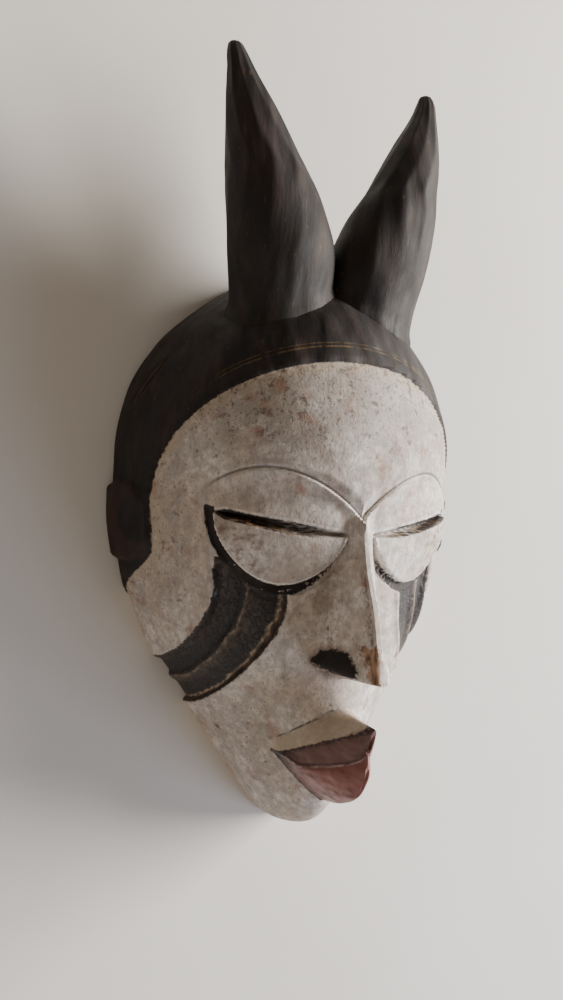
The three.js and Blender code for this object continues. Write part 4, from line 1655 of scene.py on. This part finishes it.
@dataclass(frozen=True)
class LipRed:
    """Red ochre darkened by handling: maroon, half glossy, sooty along its edges, with painted shade on the
    upper lip and between the lips and a painted highlight along the lower lip's upper edge.
    """

    upper: str = "#65423d"
    lower: str = "#84504a"
    dark: str = "#321d1b"
    soot: str = "#1b1514"
    pale: str = "#b59a92"
    roughness: float = 0.38
    dent_height: float = 0.6

    def lay(self, tray: PaintTray) -> Coat:
        """Adds the nodes of this finish.

        Args:
            tray: The node tree that they go into.

        Returns:
            The finish as one coat.
        """
        worn = tray.patches((6.0, 5.0, 6.0), 0.44, 0.76, detail=6.0, shift=41.0)
        # Painted light: the upper lip is painted darker as shade under the overhanging edge, the lower lip
        # lighter where it is lit.
        colour = tray.tint(self.upper, self.lower, tray.edge(Mark.LOWER_LIP, -0.8, 3.0, worn, 2.0))
        colour = tray.tint(colour, self.dark, worn, 0.5)
        colour = tray.tint(colour, self.dark, tray.edge(Mark.DEGREES, 11.0, 24.0, worn, 5.0))
        # Painted shade: a dark line in the crease between the lips.
        colour = tray.tint(colour, self.dark, tray.stripe(Mark.LOWER_LIP, (-1.6, -0.2), (0.9, 0.1)), 0.7)
        chips = tray.patches((2.6, 1.6, 2.6), 0.4, 0.56, detail=5.0, shift=55.0)
        # Painted highlight: a pale broken line along the lower lip's upper edge, where it catches the light.
        rubbed = tray.all_of(tray.stripe(Mark.LOWER_LIP, (0.3, 0.8), (2.0, 1.1)), chips)
        colour = tray.tint(colour, self.pale, rubbed, 0.6)
        sooty = tray.all_of(tray.edge(Mark.LIPS, 4.0, 1.2, chips, 1.6), chips)
        colour = tray.tint(colour, self.soot, sooty, 0.9)
        dents = tray.patches((9.0, 8.0, 9.0), 0.25, 0.75, detail=1.0, shift=57.0)
        return Coat(colour, tray.scaled(worn, 0.16, self.roughness), tray.scaled(dents, self.dent_height))


@dataclass(frozen=True)
class BareWood:
    """Light hardwood left raw: dull brown, with grain along the block, cut marks and dirt in it."""

    light: str = "#94795c"
    dark: str = "#5c452f"
    cut_height: float = 1.2
    roughness: float = 0.78

    def lay(self, tray: PaintTray) -> Coat:
        """Adds the nodes of this finish.

        Args:
            tray: The node tree that they go into.

        Returns:
            The finish as one coat.
        """
        grain = tray.patches((1.6, 30.0, 2.4), 0.35, 0.7, detail=5.0, shift=43.0)
        colour = tray.tint(self.light, self.dark, grain)
        cuts = tray.patches((11.0, 18.0, 11.0), 0.3, 0.7, detail=0.0, shift=47.0)
        return Coat(colour, tray.scaled(grain, 0.1, self.roughness), tray.scaled(cuts, self.cut_height))


@dataclass
class PaintedWood:
    """The outside of the mask: clay on the face, soot on the hair and in the cuts, red on the lips."""

    name: str = "painted_wood"
    kaolin: Kaolin = field(default_factory=Kaolin)
    patina: SootPatina = field(default_factory=SootPatina)
    band: BandSoot = field(default_factory=BandSoot)
    slit: SlitSoot = field(default_factory=SlitSoot)
    red: LipRed = field(default_factory=LipRed)
    worn: BareWood = field(default_factory=lambda: BareWood("#b39177", "#543a2b", 0.1, 0.6))

    def build(self) -> bpy.types.Material:
        """Makes the material, every coat laid over the one below it.

        Returns:
            The material.
        """
        material = new_material(self.name)
        tray = PaintTray(material.node_tree)
        ragged = tray.patches((2.4, 2.8, 2.4), 0.15, 0.85, detail=5.0, shift=53.0)
        coat = self.kaolin.lay(tray)
        coat = tray.cover(coat, self.worn.lay(tray), tray.edge(Mark.TIP, -0.8, 1.2, ragged, 4.0))
        patina = self.patina.lay(tray)
        coat = tray.cover(coat, patina, tray.edge(Mark.WING, 0.5, -0.6, ragged, 2.4))
        flaked = tray.patches((1.6, 1.8, 1.6), 0.6, 0.48, detail=5.0, shift=65.0)
        inner = tray.edge(Mark.DEGREES, 8.0, 15.0, flaked, 8.0)
        whole = tray.patches((6.0, 3.4, 6.0), 0.7, 0.62, detail=8.0, shift=67.0)
        moon_line = tray.all_of(tray.edge(Mark.MOON_LINE, 0.5, -0.3, ragged, 1.3), inner, whole)
        coat = tray.cover(coat, patina, moon_line)
        channels = tray.all_of(
            tray.edge(Mark.BAND, 0.772, 0.784, ragged, 0.02),
            tray.edge(Mark.BAND, 1.262, 1.25, ragged, 0.02),
            tray.edge(Mark.CHEEK, 0.3, 0.6, ragged, 0.1),
        )
        coat = tray.cover(coat, self.band.lay(tray), channels)
        coat = tray.cover(coat, self.slit.lay(tray), tray.edge(Mark.SLIT, 0.5, -0.2, ragged, 0.8))
        coat = tray.cover(coat, self.red.lay(tray), tray.edge(Mark.LIPS, -0.2, 0.4, ragged, 0.9))
        coat = tray.cover(coat, patina, tray.edge(Mark.HAIR, -0.4, 0.3, ragged, 0.8))
        tray.finish(coat)
        return material


@dataclass
class RawInside:
    """The hollow back and the rim, left as bare wood."""

    name: str = "bare_wood"
    wood: BareWood = field(default_factory=BareWood)

    def build(self) -> bpy.types.Material:
        """Makes the material.

        Returns:
            The material.
        """
        material = new_material(self.name)
        tray = PaintTray(material.node_tree)
        tray.finish(self.wood.lay(tray))
        return material


class Join(Enum):
    """How one solid is set against another."""

    ADD = "UNION"
    CUT = "DIFFERENCE"


@dataclass
class CarvedMask:
    """The whole mask, one block: the carved head with two horns, hollowed from the back."""

    carving: Carving = field(default_factory=Carving)
    eye_step: float = 0.85
    face_step: float = 1.25
    hair_step: float = 2.3
    face_to: float = 47.0
    front_turn: float = 0.6
    side_turn: float = 1.35
    hollow_turns: int = 96
    hollow_rings: int = 64
    sharp_from: float = math.radians(42.0)
    rim_under: float = 0.05

    def build(self) -> bpy.types.Object:
        """Makes the mask.

        Returns:
            The mask as one object at the origin.
        """
        mask = solid("carved_mask", self.head())
        for side in (1.0, -1.0):
            self.join(mask, solid("horn", Horn(self.carving, side).build()), Join.ADD)
        self.join(mask, solid("hollow", self.hollow()), Join.CUT)
        self.dress(mask)
        self.set_down(mask)
        return mask

    def columns(self) -> np.ndarray:
        """Gives the degrees of the upright lines, closest over the face.

        Returns:
            The degrees, from one side of the rim to the other.
        """
        front = np.arange(0.0, self.face_to, self.front_turn)
        side = np.linspace(self.face_to, 90.0, round((90.0 - self.face_to) / self.side_turn) + 1)
        half = np.concatenate([front[1:], side])
        return np.concatenate([-half[::-1], [0.0], half])

    def rows(self) -> np.ndarray:
        """Gives the heights of the level lines, closest round the eyes, evenly along the surface.

        Returns:
            The heights in millimetres, from the chin up.
        """
        form = self.carving.form
        trials = 4001
        y = form.middle - form.height / 2.0 * np.cos(np.linspace(0.0, math.pi, trials))
        wide, deep, _ = form.section(y)
        run = np.hypot(np.diff(y), np.maximum(np.abs(np.diff(deep)), np.abs(np.diff(wide))))
        at = (y[1:] + y[:-1]) / 2.0
        by_eyes = ease(-46.0, -38.0, at) * ease(44.0, 36.0, at)
        in_hair = ease(50.0, 80.0, at)
        step = lerp(lerp(self.face_step, self.hair_step, in_hair), self.eye_step, by_eyes)
        count = np.concatenate([[0.0], np.cumsum(run / step)])
        lines = round(count[-1])
        return np.interp(np.linspace(0.0, count[-1], lines + 1), count, y)

    def head(self) -> Shape:
        """Makes the carved head as a sheet bent round the front and closed by a flat back.

        Returns:
            The head's mesh in millimetres.
        """
        columns, rows = self.columns(), self.rows()
        head = bmesh.new()
        bmesh.ops.create_grid(head, x_segments=len(columns) - 1, y_segments=len(rows) - 1, size=1.0)
        flat = np.array([vert.co[:] for vert in head.verts])
        i = np.rint((flat[:, 0] + 1.0) / 2.0 * (len(columns) - 1)).astype(int)
        j = np.rint((flat[:, 1] + 1.0) / 2.0 * (len(rows) - 1)).astype(int)
        angle, y = np.radians(columns[i]), rows[j]
        radius = self.carving.radius(angle, y)
        radius[(j == 0) | (j == len(rows) - 1)] = 0.0
        places = around_axis(radius, angle, y)
        places[(i == 0) | (i == len(columns) - 1), 2] = 0.0
        move_points(head, places)
        bmesh.ops.remove_doubles(head, verts=head.verts, dist=0.01)
        rim = [edge for edge in head.edges if edge.is_boundary]
        bmesh.ops.holes_fill(head, edges=rim, sides=0)
        face_outwards(head)
        return head

    def hollow(self) -> Shape:
        """Makes what is dug out: a ball in the head's form, half of it behind the rim.

        Returns:
            The mesh in millimetres.
        """
        form = self.carving.form
        hollow, points = ball(self.hollow_turns, self.hollow_rings)
        y = form.middle + (form.height / 2.0 - form.wall) * points[:, 2]
        angle = np.arctan2(points[:, 0], -points[:, 1])
        radius = form.hollow_radius(angle, y)
        at_pole = np.abs(points[:, 2]) > 0.99999
        radius[at_pole] = 0.0
        move_points(hollow, around_axis(radius, angle, y))
        face_outwards(hollow)
        return hollow

    def join(self, base: bpy.types.Object, tool: bpy.types.Object, how: Join) -> None:
        """Adds a solid to the base, or cuts it out, and takes the tool away.

        Args:
            base: The object that is changed.
            tool: The solid that is used up.
            how: Whether it is added or cut.
        """
        modifier = base.modifiers.new("join", "BOOLEAN")
        modifier.object = tool
        modifier.operation = how.value
        modifier.solver = "MANIFOLD"
        graph = bpy.context.evaluated_depsgraph_get()
        joined = bpy.data.meshes.new_from_object(base.evaluated_get(graph))
        base.modifiers.clear()
        base.data = joined
        bpy.data.objects.remove(tool)

    def dress(self, mask: bpy.types.Object) -> None:
        """Stores the paint's marks on the points and gives each face its finish.

        Args:
            mask: The mask in millimetres over the root of the nose.
        """
        mesh = mask.data
        points = np.empty(len(mesh.vertices) * 3)
        mesh.vertices.foreach_get("co", points)
        points = points.reshape(-1, 3)
        for mark, values in PaintMarks(self.carving).measure(points).items():
            stored = mesh.attributes.new(mark.value, "FLOAT", "POINT")
            stored.data.foreach_set("value", values.astype(np.float32))
        inside = self.in_hollow(points)
        mesh.materials.clear()
        mesh.materials.append(PaintedWood().build())
        mesh.materials.append(RawInside().build())
        shape = bmesh.new()
        shape.from_mesh(mesh)
        shape.normal_update()
        for face in shape.faces:
            on_rim = all(vert.co.z < self.rim_under for vert in face.verts)
            raw = on_rim or all(inside[vert.index] for vert in face.verts)
            face.material_index = int(raw)
            face.smooth = not on_rim
        for edge in shape.edges:
            same = len({face.smooth for face in edge.link_faces}) == 1
            edge.smooth = same and edge.calc_face_angle(0.0) < self.sharp_from
        shape.to_mesh(mesh)
        shape.free()

    def in_hollow(self, points: np.ndarray) -> np.ndarray:
        """Is true for points on the wall of the hollow.

        Args:
            points: Places in millimetres over the root of the nose.

        Returns:
            One value for each place.
        """
        form = self.carving.form
        x, y, z = points.T
        into_wall = 0.3 * form.wall
        inner = form.hollow_radius(np.arctan2(x, np.maximum(z, 0.0)), y) + into_wall
        within = np.abs(y - form.middle) < form.height / 2.0 - form.wall + 1.0
        return within & (np.hypot(x, z) < inner)

    def set_down(self, mask: bpy.types.Object) -> None:
        """Moves the mask's points into the CAD frame, in metres, with its rim on the floor.

        Args:
            mask: The mask in millimetres over the root of the nose.
        """
        form = self.carving.form
        middle = (form.crown + Horn(self.carving, 1.0).rise + form.chin) / 2.0
        mask.data.transform(Matrix.Scale(MM, 4) @ Matrix.Translation((0.0, -middle, 0.0)))


@dataclass
class PhotoCamera:
    """The camera of the photograph, looking down on the lying mask from its right side."""

    place: tuple[float, float, float] = (-0.212068, -0.048711, 0.46192)
    yaw: float = 0.436
    pitch: float = -0.052
    roll: float = 0.002
    lens: float = 28.08

    def build(self) -> bpy.types.Object:
        """Makes the camera and gives it to the scene.

        Returns:
            The camera.
        """
        ahead = Vector((math.sin(self.yaw), 0.0, -math.cos(self.yaw)))
        right = Vector((math.cos(self.yaw), 0.0, math.sin(self.yaw)))
        up = Vector((0.0, 1.0, 0.0))
        ahead, up = (
            ahead * math.cos(self.pitch) - up * math.sin(self.pitch),
            up * math.cos(self.pitch) + ahead * math.sin(self.pitch),
        )
        right, up = (
            right * math.cos(self.roll) + up * math.sin(self.roll),
            up * math.cos(self.roll) - right * math.sin(self.roll),
        )
        data = bpy.data.cameras.new("photo_camera")
        data.sensor_width = 36.0
        data.lens = self.lens
        data.clip_start = 0.01
        camera = into_scene("photo_camera", data)
        turned = Matrix((right, up, -ahead)).transposed().to_4x4()
        camera.matrix_world = Matrix.Translation(self.place) @ turned
        bpy.context.scene.camera = camera
        return camera


@dataclass(frozen=True)
class Lamp:
    """One soft studio lamp."""

    name: str
    place: tuple[float, float, float]
    aim: tuple[float, float, float]
    size: tuple[float, float]
    watts: float
    colour: str

    def build(self) -> bpy.types.Object:
        """Makes the lamp and turns it to its aim.

        Returns:
            The lamp.
        """
        data = bpy.data.lights.new(self.name, "AREA")
        data.shape = "RECTANGLE"
        data.size, data.size_y = self.size
        data.energy = self.watts
        data.color = linear(self.colour)[:3]
        lamp = into_scene(self.name, data)
        lamp.location = self.place
        lamp.rotation_euler = (Vector(self.aim) - Vector(self.place)).to_track_quat("-Z", "Y").to_euler()
        return lamp


@dataclass
class Studio:
    """The pale floor and the soft light round the mask."""

    floor_size: float = 5.0
    floor_colour: str = "#e6e3df"
    floor_shade: str = "#e0dcd7"
    floor_roughness: float = 0.9
    floor_ior: float = 1.5
    sky: str = "#ffebd2"
    sky_strength: float = 0.22
    lamps: tuple[Lamp, ...] = (
        Lamp("window_light", (1.5, 0.22, 0.78), (0.0, 0.0, 0.05), (1.2, 0.4), 90.0, "#fffaf2"),
        Lamp("low_light", (0.95, -0.85, 0.7), (0.2, -0.2, 0.0), (0.6, 0.6), 9.0, "#cfe0ff"),
        Lamp("soft_fill", (-0.9, -1.0, 0.7), (0.0, -0.05, 0.05), (1.2, 0.9), 3.9, "#fff4ea"),
    )

    def build(self) -> bpy.types.Object:
        """Makes floor, sky and lamps.

        Returns:
            The floor.
        """
        shape = bmesh.new()
        bmesh.ops.create_grid(shape, x_segments=1, y_segments=1, size=self.floor_size / 2.0)
        floor = solid("floor", shape)
        floor.data.materials.append(self.plaster())
        world = bpy.data.worlds.new("studio")
        world.use_nodes = True
        world.node_tree.nodes.clear()
        inputs = {"Color": linear(self.sky), "Strength": self.sky_strength}
        sky = add_node(world.node_tree, "ShaderNodeBackground", inputs)
        add_node(world.node_tree, "ShaderNodeOutputWorld", {"Surface": sky.outputs[0]})
        bpy.context.scene.world = world
        for lamp in self.lamps:
            lamp.build()
        return floor

    def plaster(self) -> bpy.types.Material:
        """Makes the floor's matt plaster, which gives a soft even tone.

        Returns:
            The material.
        """
        material = new_material("pale_plaster")
        tray = PaintTray(material.node_tree, self.floor_ior)
        shade = tray.patches((180.0, 180.0, 180.0), 0.2, 0.8)
        colour = tray.tint(self.floor_colour, self.floor_shade, shade)
        tray.shade({"Base Color": colour, "Roughness": self.floor_roughness})
        return material


def main() -> None:
    """Builds the mask, the studio and the camera, and reports each piece."""
    logging.basicConfig(level=logging.INFO, format="%(message)s")
    mask = CarvedMask().build()
    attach(mask, "root")
    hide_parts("mask")
    mask.data.calc_loop_triangles()
    LOG.info("%s: %d triangles", mask.name, len(mask.data.loop_triangles))
    studio = Studio()
    floor = studio.build()
    LOG.info("%s and %d lamps", floor.name, len(studio.lamps))
    camera = PhotoCamera().build()
    LOG.info("%s: %.2f mm lens", camera.name, camera.data.lens)


if __name__ == "__main__":
    main()
